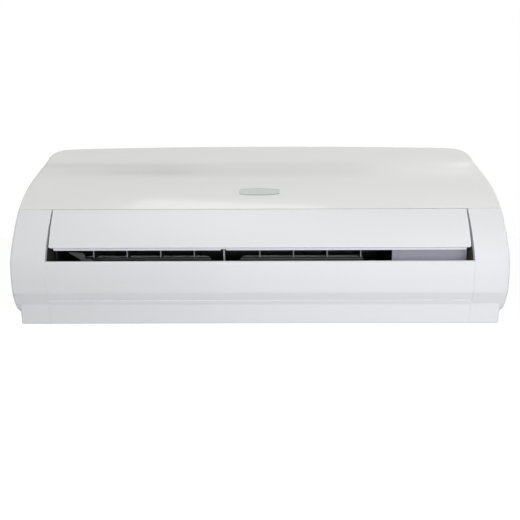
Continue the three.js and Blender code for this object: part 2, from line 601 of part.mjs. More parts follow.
// The left link's handle: an arm forward from the bar's end, and a paddle that leans outwards.
function linkHandle() {
  const paddle = [
    [-297, -49], [-278, -49], [-278, -43], [-284, -42.3], [-290.4, -41.9], [-290.6, -36.5], [-294, -32.6],
    [-315.3, -30.8], [-316.4, -33], [-308.7, -37.4], [-300.4, -42.5], [-296.5, -46],
  ];
  return [prism("y", paddle, -200, -196), box(-297, -283, -199, LINK_Y, LINK_Z.low, LINK_Z.low + 3.5)];
}

for (const [side, places] of Object.entries(VANE_SIDES)) {
  places.forEach((x, i) => place(`vane_${side}_${i + 1}`, vane(x), greyPlastic));
  const bar = linkBar(LINK_ENDS[side], LINK_CURVES[side], places);
  place(`vane_link_${side}`, side === "left" ? join(bar, ...linkHandle()) : bar, darkPlastic);
  const [first, last] = [places[0], places[3]];
  const feet = places.map((x) => circle(x, VANE_Y, 2.5, 12));
  const railOutline = rectangle(first - 14, last + 14, VANE_Y - 7, VANE_Y + 7);
  place(`vane_rail_${side}`, prism("z", railOutline, FLOOR_Z + GAP, -62.8, feet), greyPlastic);
}

// ---------------------------------------------------------------- fan and motor
function fanRotor() {
  const { y, z, radius, left, right } = FAN;
  const polar = (r, degrees) => arc(y, z, r, degrees, degrees, 1)[0];
  const bladeCount = 18;
  const blades = Array.from({ length: bladeCount }, (_, i) => {
    const a = (i * 360) / bladeCount;
    const edge = (lead) => [[radius - 9, 0], [radius - 0.5, 11]]
      .map(([r, turn]) => polar(r, a + turn + lead));
    return prism("x", [...edge(0), ...edge(2.4).reverse()], left + 1, right - 1);
  });
  const stations = [0.25, 0.5, 0.75].map((share) => left + share * (right - left));
  const rings = stations.map((x) => sleeve("x", y, z, radius, radius - 10, x - 1, x + 1, 36));
  const disc = (low) => rod("x", y, z, radius, low, low + 2.4, 36);
  const leftEnd = join(disc(left), rod("x", y, z, 4, left - 14, left + 1, 12));
  const rightEnd = join(disc(right - 2.4), rod("x", y, z, 11, right - 18, right, 16));
  const whole = join(...blades, ...rings, leftEnd, rightEnd);
  return cut(whole, rod("x", y, z, 4.4, right - 15, right + 1, 12));
}
place("fan_rotor", fanRotor(), darkPlastic);
place("fan_shaft", rod("x", FAN.y, FAN.z, 4, FAN.right - 14, 268, 12), steel);
place("fan_end_bush", join(
  sleeve("x", FAN.y, FAN.z, 11.4, 4.5, -342, -331, 14),
  sleeve("x", FAN.y, FAN.z, 14, 11, -342, AIR_LEFT - WALL - GAP, 14),
), blackRubber);

const motorCan = join(
  sleeve("x", FAN.y, FAN.z, 11, MOTOR.bore, MOTOR.left - 8, MOTOR.left + 1, 24),
  cut(rod("x", FAN.y, FAN.z, MOTOR.radius, MOTOR.left, MOTOR.right, 32),
    rod("x", FAN.y, FAN.z, MOTOR.bore, MOTOR.left - 1, MOTOR.right - 22, 24)),
  rod("x", FAN.y, FAN.z, 9, MOTOR.right, MOTOR.right + 4, 16),
);
place("fan_motor", motorCan, steel);

function motorClamp() {
  const { y, z } = FAN;
  const [inner, outer] = [MOTOR.radius + 0.6, MOTOR.radius + 3.2];
  const strap = [...arc(y, z, inner, 91, 269, 14), ...arc(y, z, outer, 269, 91, 14)];
  const foot = (low, high) => box(256, 280, y - 2, y + 0.8, low, high);
  return join(prism("x", strap, 256, 280), foot(z + inner + 0.6, 32), foot(-68, z - inner - 0.6));
}
place("motor_clamp", motorClamp(), chassisWhite);
for (const [name, z] of [["upper", 26], ["lower", -62]]) {
  const head = rod("y", 268, z, 3.4, FAN.y - 4.6, FAN.y - 2.4, 12);
  place(`clamp_screw_${name}`, cut(head, box(265, 271, FAN.y - 5, FAN.y - 3.6, z - 0.5, z + 0.5)), steel);
}

// ---------------------------------------------------------------- coil
const COIL = { left: -318, right: 204 };
const coilBlocks = {
  coil_front_lower: [[-165, 2], [-165, 48], [-145.2, 48], [-145.2, 2]],
  coil_front_upper: [[-152, 61], [-92, 101.5], [-80.5, 85], [-140.5, 44.6]],
  coil_rear: [[-70, 110], [-26, 52], [-42, 40], [-86, 98]],
};
for (const [name, outline] of Object.entries(coilBlocks))
  place(name, prism("x", outline, COIL.left, COIL.right), aluminium);

const sheetOutline = [
  [-166.5, 0.6], [-166.5, 49.5], [-153.5, 63], [-92.5, 103.6], [-69.5, 112], [-24.2, 52.4],
  [-42, 38.2], [-79.5, 84.5], [-139.5, 42.6], [-144.2, 34], [-144.2, 0.6],
];
place("tube_sheet_left", prism("x", sheetOutline, COIL.left - 2, COIL.left - 0.4), aluminium);
place("tube_sheet_right", prism("x", sheetOutline, COIL.right + 0.4, COIL.right + 2), aluminium);

// A copper hairpin's end, between two tubes of the coil.
function returnBend([y0, z0], [y1, z1]) {
  const radius = Math.hypot(y1 - y0, z1 - z0) / 2;
  const start = COIL.right + 2.4;
  const path = arc(0, 0, 1, 0, 180, 8).map(([across, out]) => {
    const share = (1 - across) / 2;
    const reach = start + 2 + out * Math.min(radius, 12);
    return new THREE.Vector3(reach, y0 + (y1 - y0) * share, z0 + (z1 - z0) * share);
  });
  const foot = (y, z) => new THREE.Vector3(start, y, z);
  return tube([foot(y0, z0), ...path, foot(y1, z1)], 3.4, 8);
}
place("return_bend_1", returnBend([-158, 12], [-158, 34]), copper);
place("return_bend_2", returnBend([-140, 56], [-120, 70]), copper);
place("return_bend_3", returnBend([-108, 78], [-95, 87]), copper);

// A copper pipe's route: out of the coil, down behind the motor, then back towards the middle.
const pipeRoute = ({ x, y, startY, startZ, bendZ, endX, endZ }) => [
  [COIL.right + 3, startY, startZ], [x, startY, startZ], [x, y, bendZ], [x, y, endZ], [endX, y, endZ],
];
place("gas_pipe", pipe(pipeRoute(GAS_RUN), 4.8, 12), copper);
place("liquid_pipe", pipe(pipeRoute(LIQUID_RUN), 3.2, 10), copper);

const flareNut = (x, y, z, across) => join(
  rod("x", y, z, across / 2, x - 16, x, 6), rod("x", y, z, across * 0.36, x - 1, x + 8, 12),
);
const nutOn = ({ y, endX, endZ: z }, across, bore) =>
  cut(flareNut(endX + 14, y, z, across), rod("x", y, z, bore, endX - 6, endX + 26, 12));
place("gas_flare_nut", nutOn(GAS_RUN, 21, 5.3), brass);
place("liquid_flare_nut", nutOn(LIQUID_RUN, 16, 3.7), brass);

// ---------------------------------------------------------------- air filters
// A thin curved sheet with a border and stiffening ribs, slid in over the coil.
function airFilter(low, high) {
  const route = (depth, level) => [[-14, level + 1.2], [-64, level], ...front(114, 52, 7, depth)];
  const strip = (outer, inner, top) =>
    [...route(outer, top), ...route(inner, top - (inner - outer)).reverse()];
  const net = prism("x", strip(9.6, 10.6, 117), low, high);
  const rib = (x) => prism("x", strip(8.6, 10.6, 118), x - 2, x + 2);
  const ribs = [0, 0.5, 1].map((share) => rib(low + 2 + share * (high - low - 4)));
  return join(net, ...ribs);
}
place("air_filter_left", airFilter(-330, -5), filterGrey);
place("air_filter_right", airFilter(5, 330), filterGrey);

// ---------------------------------------------------------------- electrical box
const EBOX = { left: 304, right: 382, front: -150 };

function electricalBox() {
  const outline = [[EBOX.front, -60], [EBOX.front, 58], [-112, 84], [-40, 84], [-40, -60]];
  const inside = [[-152, -58], [-152, 55.6], [-149.3, 55.6], [-111.3, 82], [-42, 82], [-42, -58]];
  const hollow = prism("x", inside, EBOX.left + 2, EBOX.right - 2);
  return cut(prism("x", outline, EBOX.left, EBOX.right), hollow);
}
place("electrical_box", electricalBox(), steel);

const BUTTON = { x: 343, z: 48 };
const coverPlate = prism("y", rectangle(EBOX.left, EBOX.right, -60, 57.6), -152.6, EBOX.front - GAP,
  [circle(BUTTON.x, BUTTON.z, 4.4, 16)]);
place("electrical_box_cover", coverPlate, chassisWhite);
place("manual_run_button", join(
  rod("y", BUTTON.x, BUTTON.z, 3.9, -157.5, -148, 16), rod("y", BUTTON.x, BUTTON.z, 5.4, -149.4, -148, 16),
), greyPlastic);
place("control_board", box(EBOX.left + 6, EBOX.right - 6, -54, -52.4, -50, 60), boardGreen);
place("transformer", join(box(314, 342, -78, -54.4, -40, -12), box(311, 345, -72, -60, -36, -16)), steel);
place("capacitor", rod("z", 360, -67, 12, 0, 44, 20), blackRubber);
const blockFins = [0, 1, 2, 3, 4].map((i) => box(348 + i * 6, 349.4 + i * 6, -74, -60, -48, -30));
place("terminal_block", join(box(347, 374, -66, -54.4, -48, -30), ...blockFins), creamPlastic);
place("receiver_board", join(
  box(356, 380, -158, -156.4, 44, 55), rod("y", 368, 50, 3, -162, -157, 12),
), boardGreen);

export default unit;
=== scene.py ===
# The indoor unit of a wall-mounted split air conditioner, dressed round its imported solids.
# Meshes are drawn in millimetres, +X to the right, the wall at y = 0, the room towards -Y.
import math

import bmesh
import bpy
from mathutils import Matrix, Vector


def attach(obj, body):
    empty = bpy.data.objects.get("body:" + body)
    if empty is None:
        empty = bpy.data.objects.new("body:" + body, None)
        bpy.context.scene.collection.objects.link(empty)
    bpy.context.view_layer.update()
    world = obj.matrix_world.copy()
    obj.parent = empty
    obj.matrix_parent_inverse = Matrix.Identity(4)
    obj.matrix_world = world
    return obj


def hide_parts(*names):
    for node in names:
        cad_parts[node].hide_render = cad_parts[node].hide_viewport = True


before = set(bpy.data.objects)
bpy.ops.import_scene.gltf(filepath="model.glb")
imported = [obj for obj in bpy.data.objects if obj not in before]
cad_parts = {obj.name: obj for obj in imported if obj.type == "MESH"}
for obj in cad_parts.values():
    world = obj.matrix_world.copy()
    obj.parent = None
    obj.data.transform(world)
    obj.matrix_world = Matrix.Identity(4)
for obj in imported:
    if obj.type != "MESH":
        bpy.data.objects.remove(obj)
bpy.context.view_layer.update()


# ---------------------------------------------------------------- wall plate
# The zinc plated sheet that is screwed to the wall and carries the unit. It is punched, two beads are
# pressed into it to stiffen it, and its two hooks and two clips are bent out of its edges.
MM = 0.001
PLATE = {"half": 230, "top": 88, "bottom": -98, "sheet": 1.2, "corner": 7}
HOOK_X = (-170, 170)
BEAD_Z = (35, -70)
BEAD_SECTION = [(-0.6, -6.5), (-1.9, -5.1), (-3.2, -2.9), (-3.4, 0), (-3.2, 2.9), (-1.9, 5.1), (-0.6, 6.5)]
PLATE_SCREWS = [(x, z) for x in (-200, 0, 200) for z in (70, -80)]


def spot(axis, a, b, height):
    """A place from an outline's two coordinates and the height along the axis it is pushed in."""
    return Vector({"x": (height, a, b), "y": (a, height, b), "z": (a, b, height)}[axis])


def arc(a, b, radius, start, end, steps=6):
    turns = [math.radians(start + (end - start) * i / steps) for i in range(steps + 1)]
    return [(a + radius * math.cos(turn), b + radius * math.sin(turn)) for turn in turns]


def ring(a, b, radius, steps=24):
    return arc(a, b, radius, 0, 360, steps)[1:]


def rounded(a0, a1, b0, b1, radius, steps=4):
    """A rectangle with round corners."""
    a_low, a_high, b_low, b_high = a0 + radius, a1 - radius, b0 + radius, b1 - radius
    corners = [(a_high, b_high, 0), (a_low, b_high, 90), (a_low, b_low, 180), (a_high, b_low, 270)]
    return [point for a, b, turn in corners for point in arc(a, b, radius, turn, turn + 90, steps)]


def wall_along(route, thickness):
    """A wall of even thickness on the left of a route, as a closed outline."""
    points = [Vector(point) for point in route]
    inner = []
    for i, point in enumerate(points):
        ahead = points[min(i + 1, len(points) - 1)] - points[min(i, len(points) - 2)]
        behind = points[max(i, 1)] - points[max(i - 1, 0)]
        mean = (ahead.normalized() + behind.normalized()).normalized()
        reach = thickness / max(mean.dot(behind.normalized()), 0.5)
        inner.append((point.x - mean.y * reach, point.y + mean.x * reach))
    return list(route) + inner[::-1]


def soften(body, width, segments=2, over=30):
    """Rounds the edges of a closed body that are sharper than an angle."""
    bmesh.ops.recalc_face_normals(body, faces=body.faces)
    sharp = [edge for edge in body.edges if edge.is_manifold and edge.calc_face_angle() > math.radians(over)]
    if width and sharp:
        bmesh.ops.bevel(body, geom=sharp, offset=width, offset_type="OFFSET", segments=segments,
                        profile=0.5, affect="EDGES", material=-1, clamp_overlap=True)
    return body


def pressed(axis, outlines, low, high, edge=0.3, segments=2):
    """A plate: the first outline is its rim and the others are holes, pushed from low to high."""
    body = bmesh.new()
    loops = []
    for outline in outlines:
        corners = [body.verts.new(spot(axis, a, b, low)) for a, b in outline]
        loops += [body.edges.new((corners[i - 1], corners[i])) for i in range(len(corners))]
    bmesh.ops.triangle_fill(body, use_beauty=True, edges=loops)
    made = bmesh.ops.extrude_face_region(body, geom=body.faces[:])
    lifted = [item for item in made["geom"] if isinstance(item, bmesh.types.BMVert)]
    bmesh.ops.translate(body, vec=spot(axis, 0, 0, high - low), verts=lifted)
    return soften(body, edge, segments)


def prism(axis, outline, low, high, edge=0.3, segments=2, over=30):
    """One outline pushed along an axis."""
    body = bmesh.new()
    face = body.faces.new([body.verts.new(spot(axis, a, b, low)) for a, b in outline])
    made = bmesh.ops.extrude_face_region(body, geom=[face])
    lifted = [item for item in made["geom"] if isinstance(item, bmesh.types.BMVert)]
    bmesh.ops.translate(body, vec=spot(axis, 0, 0, high - low), verts=lifted)
    return soften(body, edge, segments, over)


def joined(*bodies):
    """One bmesh of several closed bodies."""
    whole = bmesh.new()
    for body in bodies:
        carrier = bpy.data.meshes.new("carrier")
        body.to_mesh(carrier)
        body.free()
        whole.from_mesh(carrier)
        bpy.data.meshes.remove(carrier)
    return whole


def settle(body, name, ridden, slot, finish, *replaced, crease=40):
    """A finished bmesh in millimetres becomes a piece that rides on its body in place of CAD nodes."""
    for face in body.faces:
        face.smooth = True
    for edge in body.edges:
        edge.smooth = edge.is_manifold and edge.calc_face_angle() < math.radians(crease)
    bmesh.ops.scale(body, vec=(MM, MM, MM), verts=body.verts)
    mesh = bpy.data.meshes.new(name)
    body.to_mesh(mesh)
    body.free()
    mesh.materials.append(finish)
    piece = bpy.data.objects.new(name, mesh)
    bpy.context.scene.collection.objects.link(piece)
    weighted = piece.modifiers.new("even_shading", "WEIGHTED_NORMAL")
    weighted.keep_sharp = True
    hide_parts(*replaced)
    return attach(piece, ridden)


def add(tree, kind, links=None, **settings):
    """A shader node, with its settings, and what is plugged or written into its inputs."""
    made = tree.nodes.new("ShaderNode" + kind)
    for label, value in settings.items():
        setattr(made, label, value)
    for socket, value in (links or {}).items():
        if isinstance(value, bpy.types.NodeSocket):
            tree.links.new(value, made.inputs[socket])
        else:
            made.inputs[socket].default_value = value
    return made


def surface_group(name, **inputs):
    """A node group that puts out a colour, a roughness and a normal, ready to be filled."""
    tree = bpy.data.node_groups.new(name, "ShaderNodeTree")
    for label, value in inputs.items():
        size = len(value) if isinstance(value, tuple) else 1
        kind = {3: "NodeSocketVector", 4: "NodeSocketColor"}.get(size, "NodeSocketFloat")
        tree.interface.new_socket(label, in_out="INPUT", socket_type=kind).default_value = value
    for label, kind in (("Colour", "Color"), ("Roughness", "Float"), ("Normal", "Vector")):
        tree.interface.new_socket(label, in_out="OUTPUT", socket_type="NodeSocket" + kind)
    return tree, tree.nodes.new("NodeGroupInput").outputs, tree.nodes.new("NodeGroupOutput").inputs


def worked_metal():
    """Sheet, drawn or turned metal: streaks along one direction, patches of plating, faint stains."""
    tree, given, out = surface_group("worked_metal", Colour=(0.5, 0.5, 0.5, 1),
                                     Stain_colour=(0.3, 0.3, 0.3, 1), Stain=0.3,
                                     Streaks=(10.0, 900.0, 900.0), Patch=160.0, Patch_depth=0.1,
                                     Roughness=0.35, Spread=0.2, Relief=0.2)
    place = add(tree, "TexCoord").outputs["Object"]
    stretched = add(tree, "Mapping", {"Vector": place, "Scale": given["Streaks"]}).outputs[0]
    streaks = add(tree, "TexNoise", {"Vector": stretched, "Scale": 1.0, "Detail": 3.0}).outputs[0]
    patches = add(tree, "TexVoronoi", {"Vector": place, "Scale": given["Patch"]}).outputs["Color"]
    patch = add(tree, "SeparateColor", {"Color": patches}).outputs[0]
    cloud = add(tree, "TexNoise", {"Vector": place, "Scale": 22.0, "Detail": 4.0}).outputs[0]
    stained = add(tree, "MapRange", {"Value": cloud, "From Min": 0.45, "From Max": 0.75,
                                     "To Max": given["Stain"]}).outputs[0]
    shade = add(tree, "Math", {0: patch, 1: given["Patch_depth"]}, operation="MULTIPLY").outputs[0]
    bright = add(tree, "Math", {0: 1.0, 1: shade}, operation="SUBTRACT").outputs[0]
    toned = add(tree, "VectorMath", {0: given["Colour"], "Scale": bright}, operation="SCALE").outputs[0]
    colour = add(tree, "MixRGB", {"Fac": stained, "Color1": toned,
                                  "Color2": given["Stain_colour"]}).outputs[0]
    wander = add(tree, "Math", {0: streaks, 1: 0.5}, operation="SUBTRACT").outputs[0]
    rough = add(tree, "Math", {0: wander, 1: given["Spread"], 2: given["Roughness"]},
                operation="MULTIPLY_ADD").outputs[0]
    rougher = add(tree, "Math", {0: stained, 1: 0.25, 2: rough}, operation="MULTIPLY_ADD",
                  use_clamp=True).outputs[0]
    bump = add(tree, "Bump", {"Strength": given["Relief"], "Distance": 0.0002, "Height": streaks}).outputs[0]
    tree.links.new(colour, out["Colour"])
    tree.links.new(rougher, out["Roughness"])
    tree.links.new(bump, out["Normal"])
    return tree


def finish(name, group, metallic=0.0, coat=0.0, coat_roughness=0.05, **values):
    """A material whose colour, roughness and normal come from a node group with its own values."""
    made = bpy.data.materials.new(name)
    made.use_nodes = True
    tree = made.node_tree
    shader = tree.nodes["Principled BSDF"]
    source = add(tree, "Group", node_tree=group)
    for label, value in values.items():
        source.inputs[label].default_value = value
    for label, socket in (("Colour", "Base Color"), ("Roughness", "Roughness"), ("Normal", "Normal")):
        tree.links.new(source.outputs[label], shader.inputs[socket])
    for socket, value in (("Metallic", metallic), ("Coat Weight", coat), ("Coat Roughness", coat_roughness)):
        shader.inputs[socket].default_value = value
    return made


METAL = worked_metal()
zinc_sheet = finish("zinc_sheet", METAL, metallic=1.0, Colour=(0.56, 0.58, 0.60, 1),
                    Stain_colour=(0.40, 0.40, 0.38, 1), Stain=0.35, Streaks=(40.0, 40.0, 40.0), Patch=150.0,
                    Patch_depth=0.22, Roughness=0.36, Spread=0.16, Relief=0.08)


def wall_plate():
    half, top, bottom, sheet = PLATE["half"], PLATE["top"], PLATE["bottom"], PLATE["sheet"]
    windows = [rounded(x - 35, x + 35, -60, 10, 8) for x in (-165, -55, 55, 165)]
    bead_half = half - 12
    beads = [rounded(-bead_half, bead_half, z - 6, z + 6, 3) for z in BEAD_Z]
    screw_holes = [ring(x, z, 2.6) for x, z in PLATE_SCREWS]
    slots = [rounded(x - 6, x + 6, 55.8, 60.2, 2.1) for x in range(-180, 181, 40)]
    small = [ring(x, 18.5, 2, 16) for x in range(-210, 211, 30)]
    rim = rounded(-half, half, bottom, top, PLATE["corner"])
    plate = pressed("y", [rim, *windows, *beads, *screw_holes, *slots, *small], -sheet, 0, 0.25)
    hollows = [prism("x", wall_along([(y, z + rise) for y, rise in BEAD_SECTION], -0.6),
                     -bead_half, bead_half, 0) for z in BEAD_Z]
    hook = wall_along([(-0.2, 80), (-0.2, 97), (-1, 98), (-9, 98), (-9.6, 99), (-9.6, 106)], sheet)
    clip = wall_along([(-8.4, -108), (-8.4, -103), (-7.6, -102), (-1, -102), (-0.2, -101), (-0.2, -90)],
                      sheet)
    bent = [prism("x", outline, x - 18, x + 18, 0.3) for x in HOOK_X for outline in (hook, clip)]
    return joined(plate, *hollows, *bent)


settle(wall_plate(), "wall_plate_sheet", "casing", "zinc_steel", zinc_sheet, "wall_plate")


# ---------------------------------------------------------------- rear chassis
# The black moulding that everything inside is built on: back wall with its rims, the fan's scroll, the
# rear gutter, the bulkheads and the motor cradle. Ribs on its back keep the wall flat.
RIB = {"back": -1.3, "root": -5, "thick": 1.6}
RIB_SIDE_X = (-365, -328, -291, -254, 254, 291, 328, 365)
RIB_BAND_X = (-212, -125, -83, -41, 0, 41, 83, 125, 212)


def rectangle(a0, a1, b0, b1):
    return [(a0, b0), (a1, b0), (a1, b1), (a0, b1)]


def block(x0, x1, y0, y1, z0, z1, edge=0.3, segments=2):
    return prism("z", rectangle(x0, x1, y0, y1), z0, z1, edge, segments)


def moulded_plastic():
    """Moulded plastic: fine grain from the tool, a colour and a gloss that wander a little.

    Past a set distance along a given direction, in metres, it takes a paler colour: a painted highlight where
    an edge would catch the light.
    """
    tree, given, out = surface_group("moulded_plastic", Colour=(0.8, 0.8, 0.8, 1), Shade=0.04, Grain=900.0,
                                     Relief=0.1, Roughness=0.4, Spread=0.1, Edge_at=1.0,
                                     Edge_way=(0.0, -1.0, 0.0), Edge_colour=(0.4, 0.4, 0.42, 1))
    place = add(tree, "TexCoord").outputs["Object"]
    reach = add(tree, "VectorMath", {0: place, 1: given["Edge_way"]},
                operation="DOT_PRODUCT").outputs["Value"]
    # Painted highlight mask: past the set distance the colour turns pale, in place of light caught on the
    # edge.
    painted_highlight_mask = add(tree, "Math", {0: reach, 1: given["Edge_at"]}, operation="GREATER_THAN").outputs[0]
    cloud = add(tree, "TexNoise", {"Vector": place, "Scale": 9.0, "Detail": 3.0}).outputs[0]
    grain = add(tree, "TexNoise", {"Vector": place, "Scale": given["Grain"], "Detail": 2.0}).outputs[0]
    handling = add(tree, "TexNoise", {"Vector": place, "Scale": 46.0, "Detail": 5.0}).outputs[0]
    dark = add(tree, "Math", {0: cloud, 1: given["Shade"]}, operation="MULTIPLY").outputs[0]
    light = add(tree, "Math", {0: 1.0, 1: dark}, operation="SUBTRACT").outputs[0]
    # The paler colour mixed in here is a painted highlight.
    body = add(tree, "MixRGB", {"Fac": painted_highlight_mask, "Color1": given["Colour"],
                                "Color2": given["Edge_colour"]}).outputs[0]
    colour = add(tree, "VectorMath", {0: body, "Scale": light}, operation="SCALE").outputs[0]
    wander = add(tree, "Math", {0: handling, 1: 0.5}, operation="SUBTRACT").outputs[0]
    rough = add(tree, "Math", {0: wander, 1: given["Spread"], 2: given["Roughness"]},
                operation="MULTIPLY_ADD", use_clamp=True).outputs[0]
    bump = add(tree, "Bump", {"Strength": given["Relief"], "Distance": 0.0003, "Height": grain}).outputs[0]
    tree.links.new(colour, out["Colour"])
    tree.links.new(rough, out["Roughness"])
    tree.links.new(bump, out["Normal"])
    return tree


def merged_copy(node, width, segments=2):
    """A CAD node's shape in millimetres, made one closed mesh again, with its edges rounded."""
    body = bmesh.new()
    body.from_mesh(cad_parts[node].data)
    bmesh.ops.scale(body, vec=(1 / MM, 1 / MM, 1 / MM), verts=body.verts)
    bmesh.ops.remove_doubles(body, verts=body.verts, dist=0.01)
    bmesh.ops.dissolve_limit(body, angle_limit=math.radians(1), verts=body.verts, edges=body.edges)
    return soften(body, width, segments)


PLASTIC = moulded_plastic()
duct_black = finish("duct_black", PLASTIC, Colour=(0.011, 0.011, 0.015, 1), Shade=0.3, Grain=1100.0,
                    Relief=0.3, Roughness=0.52, Spread=0.2)


def rear_chassis():
    back, root, half_thick = RIB["back"], RIB["root"], RIB["thick"] / 2
    upright = [block(x - half_thick, x + half_thick, root, back, -125.5, 122, 0.25) for x in RIB_SIDE_X]
    level = [block(*ends, root, back, z - half_thick, z + half_thick, 0.25)
             for z in (-84, -42, 0, 42, 84) for ends in ((-383, -238), (238, 383))]
    bands = [block(x - half_thick, x + half_thick, root, back, low, high, 0.25)
             for x in RIB_BAND_X for low, high in ((91, 122), (-125.5, -100.5))]
    return joined(merged_copy("rear_chassis", 0.5), *upright, *level, *bands)


settle(rear_chassis(), "rear_chassis_moulding", "casing", "duct_black", duct_black, "rear_chassis")


# ---------------------------------------------------------------- drain spout
# The ribbed hose end that takes the water from the front tray down behind the chassis. It is blown
# from soft grey plastic, with a plain cuff at the top that pushes over the tray's spigot.
DRAIN_ROUTE = [(237, -155, -16), (237, -155, -98), (237, -70, -122), (150, -60, -124)]


def round_path(route, bend, steps=10):
    """A route whose corners are rounded, starting a given length from each."""
    points = [Vector(point) for point in route]
    path = [points[0]]
    for before, corner, after in zip(points, points[1:], points[2:]):
        enter = corner + (before - corner).normalized() * bend
        leave = corner + (after - corner).normalized() * bend
        for i in range(steps + 1):
            share = i / steps
            path.append(enter * (1 - share) ** 2 + corner * 2 * share * (1 - share) + leave * share ** 2)
    return path + [points[-1]]


def piped(path, radius, sides=6):
    """A round pipe along a path, with closed ends."""
    line = bpy.data.curves.new("line", "CURVE")
    line.dimensions = "3D"
    spline = line.splines.new("POLY")
    spline.points.add(len(path) - 1)
    for point, place in zip(spline.points, path):
        point.co = (*place, 1)
    line.bevel_depth, line.bevel_resolution, line.use_fill_caps = radius, sides, True
    holder = bpy.data.objects.new("holder", line)
    mesh = bpy.data.meshes.new_from_object(holder)
    body = bmesh.new()
    body.from_mesh(mesh)
    bpy.data.objects.remove(holder)
    bpy.data.curves.remove(line)
    bpy.data.meshes.remove(mesh)
    bmesh.ops.remove_doubles(body, verts=body.verts, dist=0.005)
    bmesh.ops.recalc_face_normals(body, faces=body.faces)
    return body


def turned(axis, a, b, section, steps=48):
    """A lathe shape about an axis line: (radius, height) from pole to pole, or a closed section."""
    body = bmesh.new()
    corners = [body.verts.new(spot(axis, a + radius, b, height)) for radius, height in section]
    pairs = list(zip(corners, corners[1:]))
    if section[0][0] > 0:
        pairs.append((corners[-1], corners[0]))
    edges = [body.edges.new(pair) for pair in pairs]
    bmesh.ops.spin(body, geom=corners + edges, cent=spot(axis, a, b, 0), axis=spot(axis, 0, 0, 1),
                   angle=2 * math.pi, steps=steps, use_merge=True)
    bmesh.ops.remove_doubles(body, verts=body.verts, dist=0.002)
    bmesh.ops.recalc_face_normals(body, faces=body.faces)
    return body


grey_plastic = finish("grey_plastic", PLASTIC, Colour=(0.36, 0.355, 0.40, 1), Shade=0.12, Grain=1000.0,
                      Relief=0.15, Roughness=0.46, Spread=0.12)


def drain_spout():
    x, y, _ = DRAIN_ROUTE[0]
    path = round_path(DRAIN_ROUTE, 16)
    rings = [turned("z", x, y, [(5.6, z), (6.5, z + 1), (6.5, z + 2.6), (5.6, z + 3.6)], 32)
             for z in range(-34, -75, -8)]
    cuff = turned("z", x, y, [(4.4, -16), (6.5, -16.4), (6.5, -27), (5.6, -28), (4.4, -28)], 32)
    return joined(piped(path, 5.9), cuff, *rings)


settle(drain_spout(), "drain_hose_end", "casing", "grey_plastic", grey_plastic, "drain_spout")


# ---------------------------------------------------------------- coil
# The heat exchanger: thin aluminium fins, stamped and stacked on copper tubes in three packs that wrap
# the fan, an end plate on either side, and copper hairpins brazed on at the right end.
COIL = {"left": -318, "right": 204, "pitch": 1.74, "fin": 0.2}
FIN_PACKS = {
    "coil_front_lower": [(-165, 2), (-165, 48), (-145.2, 48), (-145.2, 2)],
    "coil_front_upper": [(-152, 61), (-92, 101.5), (-80.5, 85), (-140.5, 44.6)],
    "coil_rear": [(-70, 110), (-26, 52), (-42, 40), (-86, 98)],
}
TUBE_ROWS = [(-158, 12), (-158, 34), (-140, 56), (-120, 70), (-108, 78), (-95, 87), (-60, 82), (-72, 97),
             (-48, 66), (-38, 52), (-151, 23), (-151, 43)]
HAIRPINS = {"return_bend_1": ((-158, 12), (-158, 34)), "return_bend_2": ((-140, 56), (-120, 70)),
            "return_bend_3": ((-108, 78), (-95, 87))}

fin_aluminium = finish("fin_aluminium", METAL, metallic=1.0, Colour=(0.70, 0.72, 0.74, 1),
                       Stain_colour=(0.45, 0.50, 0.52, 1), Stain=0.25, Streaks=(60.0, 220.0, 220.0),
                       Patch=90.0, Patch_depth=0.08, Roughness=0.34, Spread=0.2, Relief=0.15)
copper_tube = finish("copper_tube", METAL, metallic=1.0, Colour=(0.78, 0.40, 0.25, 1),
                     Stain_colour=(0.30, 0.13, 0.08, 1), Stain=0.75, Streaks=(60.0, 300.0, 60.0), Patch=70.0,
                     Patch_depth=0.1, Roughness=0.28, Spread=0.2, Relief=0.08)


def stamped(pattern, places):
    """A copy of a body for each matrix."""
    whole = bmesh.new()
    carrier = bpy.data.meshes.new("carrier")
    for place in places:
        copy = pattern.copy()
        bmesh.ops.transform(copy, matrix=place, verts=copy.verts)
        copy.to_mesh(carrier)
        copy.free()
        whole.from_mesh(carrier)
    pattern.free()
    bpy.data.meshes.remove(carrier)
    return whole


def along_x(*places):
    return [Matrix.Translation((x, 0, 0)) for x in places]


def fin_pack(outline):
    count = int((COIL["right"] - COIL["left"]) / COIL["pitch"])
    fin = prism("x", outline, 0, COIL["fin"], 0)
    return stamped(fin, along_x(*[COIL["left"] + 0.3 + i * COIL["pitch"] for i in range(count)]))


def end_plate(node, outer):
    """The sheet at a coil's end, with a bent rim and a drawn collar round each tube."""
    side = 1 if outer > 0 else -1
    collars = [turned("x", y, z, [(3.6, outer - side * 1.2), (5.2, outer - side * 1.2),
                                  (4.4, outer - side * 0.4), (4.2, outer + side * 1.6),
                                  (3.6, outer + side * 1.6)], 20)
               for y, z in TUBE_ROWS]
    return joined(merged_copy(node, 0.3), *collars)


def hairpin(first, second):
    (y0, z0), (y1, z1) = first, second
    centre = Vector((COIL["right"] + 6, (y0 + y1) / 2, (z0 + z1) / 2))
    across = Vector((0, y0 - y1, z0 - z1)) / 2
    reach = Vector((min(across.length, 12), 0, 0))
    bow = [centre + across * math.cos(turn) + reach * math.sin(turn)
           for turn in [math.pi * i / 20 for i in range(21)]]
    start = COIL["right"] + 2.4
    return piped([Vector((start, y0, z0)), *bow, Vector((start, y1, z1))], 3.4)


